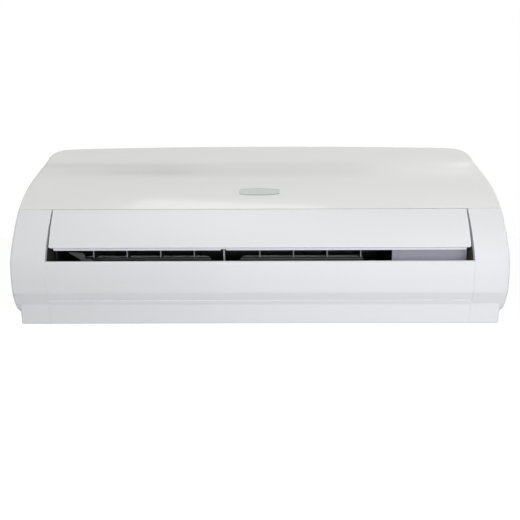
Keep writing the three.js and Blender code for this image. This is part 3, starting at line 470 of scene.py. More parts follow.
for pack, outline in FIN_PACKS.items():
    settle(fin_pack(outline), f"{pack}_fins", "casing", "fin_aluminium", fin_aluminium, pack, crease=20)
for node, outer in (("tube_sheet_left", COIL["left"] - 1), ("tube_sheet_right", COIL["right"] + 1)):
    settle(end_plate(node, outer), f"{node}_pressed", "casing", "fin_aluminium", fin_aluminium, node)
for bend, ends in HAIRPINS.items():
    settle(hairpin(*ends), f"{bend}_hairpin", "casing", "copper", copper_tube, bend)
settle(joined(*[piped([Vector((COIL["left"] - 4, y, z)), Vector((COIL["right"] + 5, y, z))], 3.4)
                for y, z in TUBE_ROWS]), "coil_tubes", "casing", "copper", copper_tube)


# ---------------------------------------------------------------- refrigerant pipes
# Two drawn copper pipes, the wide one for gas and the narrow one for liquid. Each is bent by hand from
# the coil down behind the motor, and ends in a hexagon nut of turned brass over its flared end.
GAS = {"x": 246, "y": -20, "start": (-60, 82), "bend_z": 60, "end": (120, -112), "radius": 4.8, "bend": 12}
LIQUID = {"x": 237, "y": -36, "start": (-84, 68), "bend_z": 44, "end": (90, -103), "radius": 3.2, "bend": 10}

nut_brass = finish("nut_brass", METAL, metallic=1.0, Colour=(0.78, 0.60, 0.27, 1),
                   Stain_colour=(0.42, 0.28, 0.10, 1), Stain=0.4, Streaks=(900.0, 60.0, 60.0), Patch=120.0,
                   Patch_depth=0.06, Roughness=0.26, Spread=0.2, Relief=0.15)


def refrigerant_pipe(run):
    start, (end_x, end_z) = run["start"], run["end"]
    route = [(COIL["right"] + 3, *start), (run["x"], *start), (run["x"], run["y"], run["bend_z"]),
             (run["x"], run["y"], end_z), (end_x, run["y"], end_z)]
    return piped(round_path(route, run["bend"]), run["radius"], 8)


def flare_nut(x, y, z, across, bore):
    """A hexagon with chamfered corners, a turned neck, and the bore for the pipe."""
    hexagon = pressed("x", [ring(y, z, across / 2, 6), ring(y, z, bore, 32)], x - 16, x, 0.9, 3)
    neck = turned("x", y, z, [(bore, x - 1), (across * 0.36, x - 1), (across * 0.36, x + 6.6),
                              (across * 0.3, x + 8), (bore, x + 8)], 32)
    return joined(hexagon, neck)


settle(refrigerant_pipe(GAS), "gas_pipe_drawn", "casing", "copper", copper_tube, "gas_pipe")
settle(refrigerant_pipe(LIQUID), "liquid_pipe_drawn", "casing", "copper", copper_tube, "liquid_pipe")
settle(flare_nut(134, GAS["y"], -112, 21, 5.2), "gas_nut_turned", "casing", "brass", nut_brass,
       "gas_flare_nut")
settle(flare_nut(104, LIQUID["y"], -103, 16, 3.6), "liquid_nut_turned", "casing", "brass", nut_brass,
       "liquid_flare_nut")


# ---------------------------------------------------------------- fan
# The long cross-flow fan: rows of thin curved blades moulded between rings, welded end to end. It
# turns on a steel shaft at the right, in the motor, and in a rubber bush at the left.
FAN = {"y": -92, "z": -18, "radius": 46, "left": -328, "right": 216, "blades": 35, "rings": 7}

dark_plastic = finish("dark_plastic", PLASTIC, Colour=(0.03, 0.031, 0.034, 1), Shade=0.25, Grain=900.0,
                      Relief=0.15, Roughness=0.42, Spread=0.15)
bright_steel = finish("bright_steel", METAL, metallic=1.0, Colour=(0.66, 0.66, 0.66, 1),
                      Stain_colour=(0.4, 0.36, 0.32, 1), Stain=0.2, Streaks=(30.0, 800.0, 800.0), Patch=300.0,
                      Patch_depth=0.03, Roughness=0.24, Spread=0.14, Relief=0.1)
black_rubber = finish("black_rubber", PLASTIC, Colour=(0.016, 0.016, 0.017, 1), Shade=0.3, Grain=600.0,
                      Relief=0.3, Roughness=0.75, Spread=0.12)


def blade_outline(radius):
    """A forward-curved blade in section, thick in the middle and thin at both edges."""
    front, back = [], []
    for i in range(7):
        share = i / 6
        reach = radius - 10 + 9.5 * share
        lean = 12 * share ** 1.6
        thick = 0.9 + 1.5 * math.sin(math.pi * share)
        for side, line in ((1, front), (-1, back)):
            turn = math.radians(lean + side * math.degrees(thick / 2 / reach))
            line.append((reach * math.cos(turn), reach * math.sin(turn)))
    return front + back[::-1]


def fan_rotor():
    y, z, radius, left, right = FAN["y"], FAN["z"], FAN["radius"], FAN["left"], FAN["right"]
    blade = prism("x", blade_outline(radius), left + 1, right - 1, 0)
    turns = [Matrix.Translation((0, y, z)) @ Matrix.Rotation(2 * math.pi * i / FAN["blades"], 4, "X")
             for i in range(FAN["blades"])]
    rings = []
    for i in range(1, FAN["rings"] + 1):
        x = left + (right - left) * i / (FAN["rings"] + 1)
        rings.append(turned("x", y, z, [(radius - 10.5, x - 0.9), (radius - 0.1, x - 0.9),
                                        (radius - 0.1, x + 0.9), (radius - 10.5, x + 0.9)], 72))
    left_end = turned("x", y, z, [(0, left - 14), (3.7, left - 14), (4, left - 13.4), (4, left - 0.6),
                                  (9, left), (radius - 0.4, left), (radius, left + 0.5), (radius, left + 2),
                                  (radius - 0.4, left + 2.4), (0, left + 2.4)], 72)
    right_end = turned("x", y, z, [(4.4, right - 18), (11, right - 18), (11, right - 2.4),
                                   (radius - 0.4, right - 2.4), (radius, right - 2),
                                   (radius, right - 0.4), (radius - 0.4, right), (4.4, right)], 72)
    return joined(stamped(blade, turns), *rings, left_end, right_end)


settle(fan_rotor(), "fan_blades", "fan", "dark_plastic", dark_plastic, "fan_rotor")
shaft = turned("x", FAN["y"], FAN["z"],
               [(0, 202), (3.6, 202), (4, 202.5), (4, 267.4), (3.5, 268), (0, 268)], 32)
settle(shaft, "fan_shaft_turned", "fan", "bright_steel", bright_steel, "fan_shaft")
bush = turned("x", FAN["y"], FAN["z"],
              [(4.5, -342), (10.8, -342), (11.4, -341.4), (11.4, -331.5), (10.8, -331), (4.5, -331)], 40)
flange = turned("x", FAN["y"], FAN["z"],
                [(11, -342), (13.4, -342), (14, -341.4), (14, -338.9), (13.5, -338.4), (11, -338.4)], 40)
settle(joined(bush, flange), "fan_bush_moulded", "casing", "black_rubber", black_rubber, "fan_end_bush")


# ---------------------------------------------------------------- fan motor
# The fan's motor in its rolled steel can, seated in the chassis cradle under a moulded clamp that two
# pan head screws hold. Cooling grooves run round the can.
MOTOR = {"radius": 33, "left": 240, "right": 296}
CLAMP_SCREWS = {"clamp_screw_upper": 26, "clamp_screw_lower": -62}
CLAMP_X = 268

chassis_white = finish("chassis_white", PLASTIC, Colour=(0.72, 0.72, 0.715, 1), Shade=0.05, Grain=1200.0,
                       Relief=0.25, Roughness=0.5, Spread=0.12)


def fan_motor():
    radius, left, right = MOTOR["radius"], MOTOR["left"], MOTOR["right"]
    wall = [(radius - 3, left), (radius - 0.8, left + 0.6), (radius, left + 2.6)]
    for groove in (left + 8, right - 10):
        wall += [(radius, groove), (radius - 1, groove + 0.6), (radius - 1, groove + 2),
                 (radius, groove + 2.6)]
    wall += [(radius, right - 2.6), (radius - 0.8, right - 0.6), (radius - 3, right)]
    section = [(4.6, left - 8), (10.4, left - 8), (11, left - 7.4), (11, left), *wall, (9, right),
               (9, right + 3.4), (8.4, right + 4), (4.6, right + 4)]
    return turned("x", FAN["y"], FAN["z"], section, 72)


def pan_screw(z):
    """A pan head with a crossed recess."""
    y = FAN["y"] - 2.4
    head = turned("y", CLAMP_X, z, [(0, y), (3.4, y), (3.3, y - 0.9), (2.7, y - 1.7), (1.6, y - 2.1),
                                    (0, y - 2.15)], 32)
    cross = [block(CLAMP_X - long, CLAMP_X + long, y - 2.3, y - 2.0, z - wide, z + wide, 0)
             for long, wide in ((1.9, 0.32), (0.32, 1.9))]
    return joined(head, *cross)


settle(fan_motor(), "fan_motor_can", "casing", "zinc_steel", zinc_sheet, "fan_motor")
settle(merged_copy("motor_clamp", 0.5), "motor_clamp_moulded", "casing", "chassis_white", chassis_white,
       "motor_clamp")
for screw, z in CLAMP_SCREWS.items():
    settle(pan_screw(z), f"{screw}_head", "casing", "bright_steel", bright_steel, screw)


# ---------------------------------------------------------------- drain tray and blanking wall
# The black tray under the front of the coil, whose back is the duct's upper wall, and the grey wall
# that closes the outlet in front of the motor.
settle(merged_copy("drain_tray", 0.6), "drain_tray_moulded", "casing", "duct_black", duct_black, "drain_tray")
outlet_grey = finish("outlet_grey", PLASTIC, Colour=(0.51, 0.50, 0.58, 1), Shade=0.12, Grain=1000.0,
                     Relief=0.15, Roughness=0.46, Spread=0.12)
settle(merged_copy("outlet_blanking_wall", 0.8, 3), "outlet_wall_moulded", "casing", "grey_plastic",
       outlet_grey, "outlet_blanking_wall")


# ---------------------------------------------------------------- air vanes
# Two banks of four upright blades that aim the air sideways. Each is a thin dark moulding, with a painted
# highlight along its front edge, that turns in a rail on the duct's floor. A bar on their pins, with a
# painted highlight along its top edge, moves the four together.
VANE_PITCH = 55.5
VANE_Y = -158
LINK_Y = VANE_Y - 14
FLOOR_Z = -72
VANES = {"left": [-274.5 + i * VANE_PITCH for i in range(4)],
         "right": [0.5 + i * VANE_PITCH for i in range(4)]}
LINK_ENDS = {"left": (-303, -83), "right": (-33.5, 177.5)}
LINK = {"low": -49, "high": -41.8, "drop": 6.4, "stretch": {"left": (2.1, 2.1), "right": (2.1, 0.5)}}

# The pale colour at the vanes' front edges is a painted highlight, not the moulding's own colour.
vane_grey = finish("vane_grey", PLASTIC, Colour=(0.022, 0.022, 0.030, 1), Shade=0.1, Grain=900.0, Relief=0.12,
                   Roughness=0.4, Spread=0.1, Edge_at=0.2003, Edge_colour=(0.5, 0.5, 0.54, 1))
# The pale band along the link bar's top edge is a painted highlight; the bar itself is dark grey.
link_grey = finish("link_grey", PLASTIC, Colour=(0.075, 0.075, 0.08, 1), Shade=0.15, Grain=900.0, Relief=0.12,
                   Roughness=0.3, Spread=0.1, Edge_at=-0.0438, Edge_way=(0.0, 0.0, 1.0),
                   Edge_colour=(0.75, 0.75, 0.77, 1))
handle_grey = finish("handle_grey", PLASTIC, Colour=(0.13, 0.13, 0.135, 1), Shade=0.15, Grain=900.0,
                     Relief=0.12, Roughness=0.3, Spread=0.1)


def vane(x):
    outline = [(-163.5, -62.4), (-151, -62.4), *arc(-153, -24, 2, 0, 60, 3), *arc(-160, -17, 2, 60, 90, 2),
               *arc(-198.5, -18, 3, 90, 180, 4), *arc(-198.5, -38.2, 3, 180, 270, 4), (-163.5, -41.2)]
    blade = prism("x", outline, x - 0.8, x + 0.8, 0.35, 2)
    foot = turned("z", x, VANE_Y,
                  [(0, -62.4), (3.7, -62.4), (4, -62), (4, -61), (3.5, -60.4), (0, -60.4)], 28)
    pivot = turned("z", x, VANE_Y, [(0, -69), (1.7, -69), (2.1, -68.4), (2.1, -62), (0, -62)], 20)
    pin = turned("z", x, LINK_Y, [(0, -50.5), (1.1, -50.5), (1.5, -50), (1.5, -40.5), (0, -40.5)], 20)
    return joined(blade, foot, pivot, pin)


def vane_link(side):
    """A flat bar with a slot for each vane's pin, whose upper corners run down to its ends."""
    low, high = LINK_ENDS[side]
    slots = [rounded(x - 2.1, x + 2.1, LINK_Y - 2.2, LINK_Y + 4, 1.2, 3) for x in VANES[side]]
    bar = pressed("z", [rectangle(low, high, LINK_Y - 5, LINK_Y + 5.5), *slots], LINK["low"], LINK["high"], 0)
    ends = [edge for edge in bar.edges
            if all(vert.co.z > LINK["high"] - 0.01 and min(vert.co.x - low, high - vert.co.x) < 0.01
                   for vert in edge.verts)]
    bmesh.ops.bevel(bar, geom=ends, offset=LINK["drop"], segments=7, profile=0.5, affect="EDGES", material=-1)
    low_stretch, high_stretch = LINK["stretch"][side]
    for vert in bar.verts:
        if vert.co.x - low < LINK["drop"] + 0.01:
            vert.co.x = low + (vert.co.x - low) * low_stretch
        elif high - vert.co.x < LINK["drop"] + 0.01:
            vert.co.x = high - (high - vert.co.x) * high_stretch
    return soften(bar, 0.8, 3, over=50)


def link_handle():
    """The left bar's handle: a ribbed paddle that leans outwards, on an arm from the bar's end."""
    paddle = prism("y", [(-297, -49), (-278, -49), (-278, -43), (-284, -42.3), (-290.4, -41.9),
                         (-290.6, -36.5), (-294, -32.6), (-315.3, -30.8), (-316.4, -33),
                         (-308.7, -37.4), (-300.4, -42.5), (-296.5, -46)], -199.4, -196, 0.6, 3)
    ribs = [block(x - 0.6, x + 0.6, -200, -199.2, -36.6, -33.6, 0.2) for x in (-306, -303, -300, -297)]
    arm = block(-297, -283, -199, LINK_Y, LINK["low"], LINK["low"] + 3.5, 0.5)
    return joined(paddle, *ribs, arm)


def vane_rail(side):
    low, high = VANES[side][0] - 14, VANES[side][-1] + 14
    seats = [ring(x, VANE_Y, 2.5) for x in VANES[side]]
    return pressed("z", [rounded(low, high, VANE_Y - 7, VANE_Y + 7, 3), *seats], FLOOR_Z + 0.4, -62.8, 0.5)


for side, places in VANES.items():
    for i, x in enumerate(places, 1):
        node = f"vane_{side}_{i}"
        settle(vane(x), f"{node}_blade", node, "grey_plastic", vane_grey, node)
    link = f"vane_link_{side}"
    settle(vane_link(side), f"{link}_bar", link, "dark_plastic", link_grey, link)
    settle(vane_rail(side), f"vane_rail_{side}_moulded", "casing", "grey_plastic", vane_grey,
           f"vane_rail_{side}")
settle(link_handle(), "vane_link_left_handle", "vane_link_left", "dark_plastic", handle_grey)
settle(merged_copy("louver_post", 0.3), "louver_post_moulded", "casing", "chassis_white", outlet_grey,
       "louver_post")


# ---------------------------------------------------------------- chin panel and base cover
# The lower front of the casing in soft-gloss white plastic: the outlet's ramp and lip, the full chin, the
# crease, and the skirt with its underside. The base cover clips in behind it, ribbed on the inside.
FRONT_POINTS = [(-53, 146), (-81, 124), (-107, 107.5), (-141, 86), (-167, 65.5), (-189.5, 40), (-205, 15),
                (-217, -9.5), (-227.6, -36), (-231.4, -60), (-232.1, -78), (-232.2, -91.5), (-230.9, -98),
                (-229, -105.5), (-226.7, -114), (-222.3, -122.5), (-214, -129.5)]
SEAM_HALF = 341
CHEEK_HALF = 342.3
CHIN_HALF = CHEEK_HALF - 0.12
WALL = 2.8
BOTTOM = -146
LIP_Z = -41.5
CHIN_END_Z = -104.5
SKIRT_Y = -227.4


def front_at(share):
    """The place on the casing's side view, from its top lip (0) to the side covers' underside (1)."""
    last = len(FRONT_POINTS) - 1
    index = min(int(share * last), last - 1)
    w = share * last - index
    before, first, second, after = [Vector(FRONT_POINTS[min(max(index + i, 0), last)]) for i in (-1, 0, 1, 2)]
    leave, enter = (second - before) / 2, (after - first) / 2
    cubic = 2 * first - 2 * second + leave + enter
    square = -3 * first + 3 * second - 2 * leave - enter
    return ((cubic * w + square) * w + leave) * w + first


def share_at(z):
    """How far along the side view it passes a height. It falls all the way."""
    low, high = 0, 1
    for _ in range(40):
        middle = (low + high) / 2
        low, high = (middle, high) if front_at(middle).y > z else (low, middle)
    return (low + high) / 2


def front_run(z_high, z_low, steps):
    """Points of the side view between two heights, with the outward direction at each."""
    start, end = share_at(z_high), share_at(z_low)
    run = []
    for i in range(steps + 1):
        share = start + (end - start) * i / steps
        along = (front_at(min(share + 1e-4, 1)) - front_at(max(share - 1e-4, 0))).normalized()
        run.append((front_at(share), Vector((along.y, -along.x))))
    return run


def front_line(z_high, z_low, steps, inset=0):
    return [tuple(place - out * inset) for place, out in front_run(z_high, z_low, steps)]


satin_white = finish("satin_white", PLASTIC, coat=0.15, coat_roughness=0.25, Colour=(0.815, 0.82, 0.84, 1),
                     Shade=0.02, Grain=1300.0, Relief=0.05, Roughness=0.36, Spread=0.08)


def chin_panel():
    ramp = [(-201.5, FLOOR_Z + 0.4), (-206, -65.8), (-210.5, -60), (-219, -48.5), (-222, -44.9),
            (-223.5, -43.5), (-224.6, -42.3), (-225.6, -41.9), (-226.8, -42), (-227.9, -42.5),
            (-228.7, -43.4)]
    crease = [(-228.3, -105), (-228, -105.3), (-229.2, -106.7), (-229.1, -107.6), (-228.2, -111.4),
              (-227.9, -112.4), (-227.7, -113.4)]
    skirt = [(SKIRT_Y, -114.4), (SKIRT_Y, BOTTOM + 2.2), (SKIRT_Y + 0.3, BOTTOM + 1),
             (SKIRT_Y + 1, BOTTOM + 0.3), (SKIRT_Y + 2.2, BOTTOM), (-150, BOTTOM), (-150, BOTTOM + WALL),
             (SKIRT_Y + WALL, BOTTOM + WALL), (SKIRT_Y + WALL, -115.4), (-223.6, -113), (-225.4, -106.6)]
    inside = front_line(-50, CHIN_END_Z, 24, WALL)[::-1] + [(-221, -50.5), (-212.8, -62), (-204, -75)]
    outline = ramp + front_line(LIP_Z - 3.2, CHIN_END_Z, 44) + crease + skirt + inside
    return prism("x", outline, -CHIN_HALF, CHIN_HALF, 0.15, 2, over=60)


def base_cover():
    floor = block(-SEAM_HALF, SEAM_HALF, -149.4, -8, BOTTOM, BOTTOM + WALL, 0.6)
    ribs = [block(x - 1, x + 1, -140, -12, BOTTOM + 1, BOTTOM + 9, 0.4) for x in (-300, -150, 0, 150, 300)]
    return joined(floor, *ribs)


settle(chin_panel(), "chin_panel_moulding", "casing", "satin_white", satin_white, "chin_panel")
settle(base_cover(), "base_cover_moulding", "casing", "satin_white", satin_white, "base_cover")


# ---------------------------------------------------------------- side covers
# The two white end mouldings. Each wraps round from the chin to the wall in one skin with a rounded
# edge, and carries the outlet's cheek, the horn for the front panel's pin, and the skirt's end.
HALF_WIDTH = 400
SKIRT_HALF = 391
DECK = 128
SEAM_Z = 38.6
COVER_TOP = SEAM_Z - 0.2
CURL_Z = -129.5
UNDERSIDE_Z = CURL_Z - 1.5
EDGE_ROUND = 6
FLANGE = 16
CASE_BACK = -1
HORN_X = 357
PIPE_EXIT = (-62, -14, CURL_Z + 4.5, -78)
PANEL_HINGE = {"y": -45, "z": 135, "ear": 352}
LOUVER_HINGE = {"y": -185.7, "z": 27.8}

# A near-black olive for the outlet's end walls: painted shade of the deep recess, not the side cover's own
# white.
cheek_painted_shade = finish("cheek_painted_shade", PLASTIC, Colour=(0.060, 0.060, 0.050, 1), Shade=0.3, Grain=1100.0,
                    Relief=0.25, Roughness=0.5, Spread=0.15)


def laid(columns, rows, place):
    """A sheet of faces, each corner put where place says for its column and row."""
    body = bmesh.new()
    bmesh.ops.create_grid(body, x_segments=columns, y_segments=rows, size=1)
    for vert in body.verts:
        vert.co = place(round((vert.co.x + 1) / 2 * columns), round((vert.co.y + 1) / 2 * rows))
    return body


def thickened(body, wall, toward):
    """Gives an open sheet its wall, away from the side that looks towards a direction."""
    bmesh.ops.recalc_face_normals(body, faces=body.faces)
    if sum(face.normal.dot(Vector(toward)) * face.calc_area() for face in body.faces) < 0:
        bmesh.ops.reverse_faces(body, faces=body.faces)
    bmesh.ops.solidify(body, geom=body.faces[:], thickness=wall)
    return body


def side_skin(side):
    """Front, rounded edge, underside and side face in one sheet."""
    fillet = arc(HALF_WIDTH - EDGE_ROUND, -EDGE_ROUND, EDGE_ROUND, 90, 0, 8)
    section = [(CHEEK_HALF, -5.5), (CHEEK_HALF, -0.4), (CHEEK_HALF + 0.12, -0.12), (CHEEK_HALF + 0.4, 0),
               (356, 0), (370, 0), (384, 0), *fillet]
    under = [((-209.5, -130.6), (-0.35, -0.94)),
             *[((y, UNDERSIDE_Z), (0, -1)) for y in (-205, -140, -70, CASE_BACK)]]
    run = front_run(COVER_TOP, CURL_Z, 60) + [(Vector(at), Vector(out)) for at, out in under]

    def place(column, row):
        x, depth = section[column]
        at, out = run[row]
        return Vector((side * x, *(at + out * depth)))

    body = laid(len(section) - 1, len(run) - 1, place)
    rim = sorted((vert for vert in body.verts if abs(abs(vert.co.x) - HALF_WIDTH) < 1e-3),
                 key=lambda vert: (-vert.co.z, vert.co.y) if vert.co.z > -124.9 else (130, vert.co.y))
    borders = [body.edges.get(pair) for pair in zip(rim, rim[1:])]
    returned = [point for point in front_line(DECK + 8, COVER_TOP, 24, FLANGE + 0.6) if point[1] < DECK]
    corners = [rim[-1]] + [body.verts.new((side * HALF_WIDTH, y, z))
                           for y, z in [(CASE_BACK, DECK), *returned]]
    corners.append(rim[0])
    borders += [body.edges.new(pair) for pair in zip(corners, corners[1:])]
    if side > 0:
        hole = [body.verts.new((HALF_WIDTH, y, z)) for y, z in rounded(*PIPE_EXIT, 7)]
        borders += [body.edges.new((hole[i - 1], hole[i])) for i in range(len(hole))]
    bmesh.ops.triangle_fill(body, use_beauty=True, edges=borders)
    return soften(thickened(body, WALL, (side, -0.2, 0)), 0.35, 2, over=60)


def skirt_end(side):
    """The skirt's end: an open box with a rounded corner and a rounded lower edge."""
    outline = [(CHEEK_HALF, CASE_BACK), (CHEEK_HALF, SKIRT_Y),
               *arc(SKIRT_HALF - 4, SKIRT_Y + 4, 4, 270, 360, 8), (SKIRT_HALF, CASE_BACK)]
    body = prism("z", [(side * x, y) for x, y in outline], BOTTOM, -113.2, 0)
    lower = [edge for edge in body.edges if all(vert.co.z < BOTTOM + 0.01 for vert in edge.verts)
             and not all(abs(vert.co.x) < CHEEK_HALF + 0.01 for vert in edge.verts)
             and not all(vert.co.y > CASE_BACK - 0.01 for vert in edge.verts)]
    bmesh.ops.bevel(body, geom=lower, offset=2.2, segments=5, profile=0.5, affect="EDGES", material=-1)
    opened = [face for face in body.faces if face.normal.z > 0.9 or face.normal.y > 0.9
              or face.normal.x * side < -0.9]
    bmesh.ops.delete(body, geom=opened, context="FACES")
    return soften(thickened(body, WALL, (side, -1, -1)), 0.4, 2, over=60)


def side_cover(side):
    def span(low, high):
        return (low, high) if side > 0 else (-high, -low)

    deck = block(*span(CHEEK_HALF, HALF_WIDTH - 1), -48, CASE_BACK, DECK - WALL, DECK, 0.5)
    horn = pressed("x", [[(-48, DECK - 1), (-38, DECK - 1), (-40, 137), (-43, 140), (-47, 140), (-50.5, 137),
                          (-50.5, 131)], ring(PANEL_HINGE["y"], PANEL_HINGE["z"], 3)],
                   *span(HORN_X - 2, HORN_X + 2), 0.4)
    return joined(side_skin(side), skirt_end(side), deck, horn)


def recess_cheek(side):
    """A wall at the outlet's end, with the hole for the louver's pivot, coloured near-black as painted shade
    of the deep recess.
    """
    outline = front_line(COVER_TOP - 0.4, LIP_Z - 2, 24, 5.9) + [(-200, -76), (-165, -76), (-165, 37)]
    ends = sorted((side * (CHEEK_HALF + 0.1), side * (CHEEK_HALF + WALL)))
    return pressed("x", [outline, ring(LOUVER_HINGE["y"], LOUVER_HINGE["z"], 5)], *ends, 0.4)


for name, side in (("left", -1), ("right", 1)):
    settle(side_cover(side), f"side_cover_{name}_moulding", "casing", "satin_white", satin_white,
           f"side_cover_{name}")
    # The cheek's dark colour is painted shade.
    settle(recess_cheek(side), f"recess_cheek_{name}", "casing", "duct_black", cheek_painted_shade)


# ---------------------------------------------------------------- front frame and intake grille
# The frame snaps over the chassis: a rail above the louver, a top rail and three filter guides. Behind
# its top rail lies the intake grille, a flat white moulding of slim bars on two long rails.
GRILLE = {"half": 340.9, "front": -64, "back": -8, "high": DECK - 0.1, "low": DECK - 3.1, "pitch": 7.4}

grille_white = finish("grille_white", PLASTIC, Colour=(0.79, 0.795, 0.80, 1), Shade=0.05, Grain=1000.0,
                      Relief=0.12, Roughness=0.42, Spread=0.12)


def intake_grille():
    half, low, high = GRILLE["half"], GRILLE["low"], GRILLE["high"]
    frame_hole = rounded(-335, 335, -60, -12, 2)
    edge = pressed("z", [rounded(-half, half, GRILLE["front"], GRILLE["back"], 1.5), frame_hole], low, high,
                   0.4)
    rails = [block(-336, 336, y - 1.2, y + 1.2, low, high - 0.3, 0.4) for y in (-44, -28)]
    count = int(330 / GRILLE["pitch"])
    bar = block(-1.1, 1.1, -60.6, -11.4, low + 0.2, high - 0.2, 0.5)
    posts = [block(x - 2, x + 2, -60.6, -11.4, low, high, 0.4) for x in (-224, -112, 0, 112, 224)]
    bars = stamped(bar, along_x(*[i * GRILLE["pitch"] for i in range(-count, count + 1)]))
    return joined(edge, *rails, bars, *posts)


settle(merged_copy("front_frame", 0.4), "front_frame_moulded", "casing", "chassis_white", chassis_white,
       "front_frame")
settle(intake_grille(), "intake_grille_bars", "casing", "satin_white", grille_white, "intake_grille")


# ---------------------------------------------------------------- louver
# The long flap that closes the outlet: an outer blade in the casing's white, and an inner skin welded
# behind it that shows below as a lip. It hangs on three ears, on a bush, the post and the drive hub.
LOUVER = {"top_half": 341, "half": 340, "bottom_half": 338.4, "skin_half": 332, "top": COVER_TOP,
          "bottom": -21, "skin_top": 34, "skin_bottom": -24.1, "notch": 2}
POST_X = -58


def front_table(z_high, z_low, steps=300):
    """Points of the side view with their distance from the first."""
    run = front_run(z_high, z_low, steps)
    table, far = [], 0
    for i, (at, out) in enumerate(run):
        far += (at - run[i - 1][0]).length if i else 0
        table.append((far, at, out))
    return table


def bent(flat, table, every=2.5):
    """Bends a flat body, drawn as (x, distance down the front, depth), to the casing's side view."""
    length = table[-1][0]
    for i in range(1, int(length / every)):
        bmesh.ops.bisect_plane(flat, geom=flat.verts[:] + flat.edges[:] + flat.faces[:], dist=0.01,
                               plane_co=(0, i * every, 0), plane_no=(0, 1, 0))
    for vert in flat.verts:
        index = min(max(round(vert.co.y / length * (len(table) - 1)), 0), len(table) - 1)
        far, at, out = table[index]
        along = Vector((-out.y, out.x))
        place = at + along * (vert.co.y - far) - out * vert.co.z
        vert.co = (vert.co.x, *place)
    bmesh.ops.recalc_face_normals(flat, faces=flat.faces)
    return flat


def louver_blade():
    """The outer blade, full width at its hinge edge and a little narrower below."""
    table = front_table(LOUVER["top"], LOUVER["bottom"])
    top, low, length = LOUVER["top_half"], LOUVER["bottom_half"], table[-1][0]
    right = [(LOUVER["half"], 4.2), (top, 2.8), *arc(top - 0.6, 0.6, 0.6, 0, -90, 3)]
    outline = [*right, *[(-x, far) for x, far in reversed(right)],
               *arc(3 - low, length - 3, 3, 180, 90, 6), *arc(low - 3, length - 3, 3, 90, 0, 6)]
    return bent(prism("z", outline, 0, 3, 0.3, 3), table)


def louver_skin():
    y, z = LOUVER_HINGE["y"], LOUVER_HINGE["z"]
    table = front_table(LOUVER["skin_top"], LOUVER["skin_bottom"])
    half, length, notch = LOUVER["skin_half"], table[-1][0], LOUVER["notch"]
    outline = [(-half, 0), (half, 0), *arc(half - 2, length - 2, 2, 0, 90, 4),
               *arc(POST_X + 5, length - 1, 1, 90, 180, 3), (POST_X + 4, length - notch),
               (POST_X - 4, length - notch), *arc(POST_X - 5, length - 1, 1, 0, 90, 3),
               *arc(2 - half, length - 2, 2, 90, 180, 4)]
    skin = bent(prism("z", outline, 3.4, 5.4, 0.5, 3), table)
    ear = [*arc(y, z, 4, -75, 105, 14), front_line(33, 32, 1, 4.4)[0], front_line(11, 10, 1, 4.4)[0]]
    ears = [prism("x", ear, low, high, 0.4) for low, high in ((-336, -330), (-55.9, -53.4), (330, 336))]
    pins = [turned("x", y, z, [(0, low), (1.8, low), (2.2, low + 0.5), (2.2, high - 0.5), (1.8, high),
                               (0, high)], 28)
            for low, high in ((-344.4, -334), (-62, -54.5))]
    return joined(skin, *ears, *pins)


def drive_hub():
    y, z = LOUVER_HINGE["y"], LOUVER_HINGE["z"]
    return turned("x", y, z, [(0, 336.4), (4, 336.4), (4.4, 336.9), (4.4, 345.5), (4, 346), (2, 346),
                              (2, 353.6), (1.6, 354), (0, 354)], 32)


def step_motor():
    """The geared motor's can with its rolled edge, two fixing tabs and the lead block."""
    hinge_y, hinge_z = LOUVER_HINGE["y"], LOUVER_HINGE["z"]
    y, z = hinge_y + 6, hinge_z - 5
    can = turned("x", y, z, [(0, 346.8), (11, 346.8), (12, 347.6), (12, 363.2), (11.4, 364), (0, 364)], 48)
    tabs = prism("x", rounded(y - 3, y + 3, z - 17, z + 15, 2.9), 346.6, 347.6, 0.2)
    leads = block(350, 362, y + 8, y + 15, z - 7, z + 7, 0.6)
    boss = turned("x", hinge_y, hinge_z, [(2.4, 345.4), (3.8, 345.4), (3.8, 347), (2.4, 347)], 28)
    return joined(can, tabs, leads, boss)


skin_white = finish("skin_white", PLASTIC, coat=0.15, coat_roughness=0.25, Colour=(0.79, 0.80, 0.875, 1),
                    Shade=0.02, Grain=1300.0, Relief=0.05, Roughness=0.36, Spread=0.08)
louver_bush = turned("x", LOUVER_HINGE["y"], LOUVER_HINGE["z"],
                     [(2.6, -347), (4.2, -347), (4.6, -346.6), (4.6, -342.2), (4.2, -341.8), (2.6, -341.8)],
                     32)
settle(louver_blade(), "louver_blade_moulding", "louver", "satin_white", satin_white, "louver_blade")
settle(louver_skin(), "louver_skin_moulding", "louver", "satin_white", skin_white, "louver_inner_skin")
settle(drive_hub(), "louver_hub_turned", "louver", "grey_plastic", grey_plastic, "louver_drive_hub")
settle(louver_bush, "louver_bush_moulded", "casing", "grey_plastic", grey_plastic, "louver_bush")
settle(step_motor(), "louver_motor_can", "casing", "zinc_steel", zinc_sheet, "louver_step_motor")


# ---------------------------------------------------------------- electrical box
# The folded steel box at the right end with its moulded cover. In it are the control board with its
# transformer, capacitor and terminal block, the receiver board, and the button for a manual run.
BUTTON = {"x": 343, "z": 48}
CAPACITOR = {"x": 360, "y": -67}
EBOX = {"left": 304, "right": 382, "front": -150}


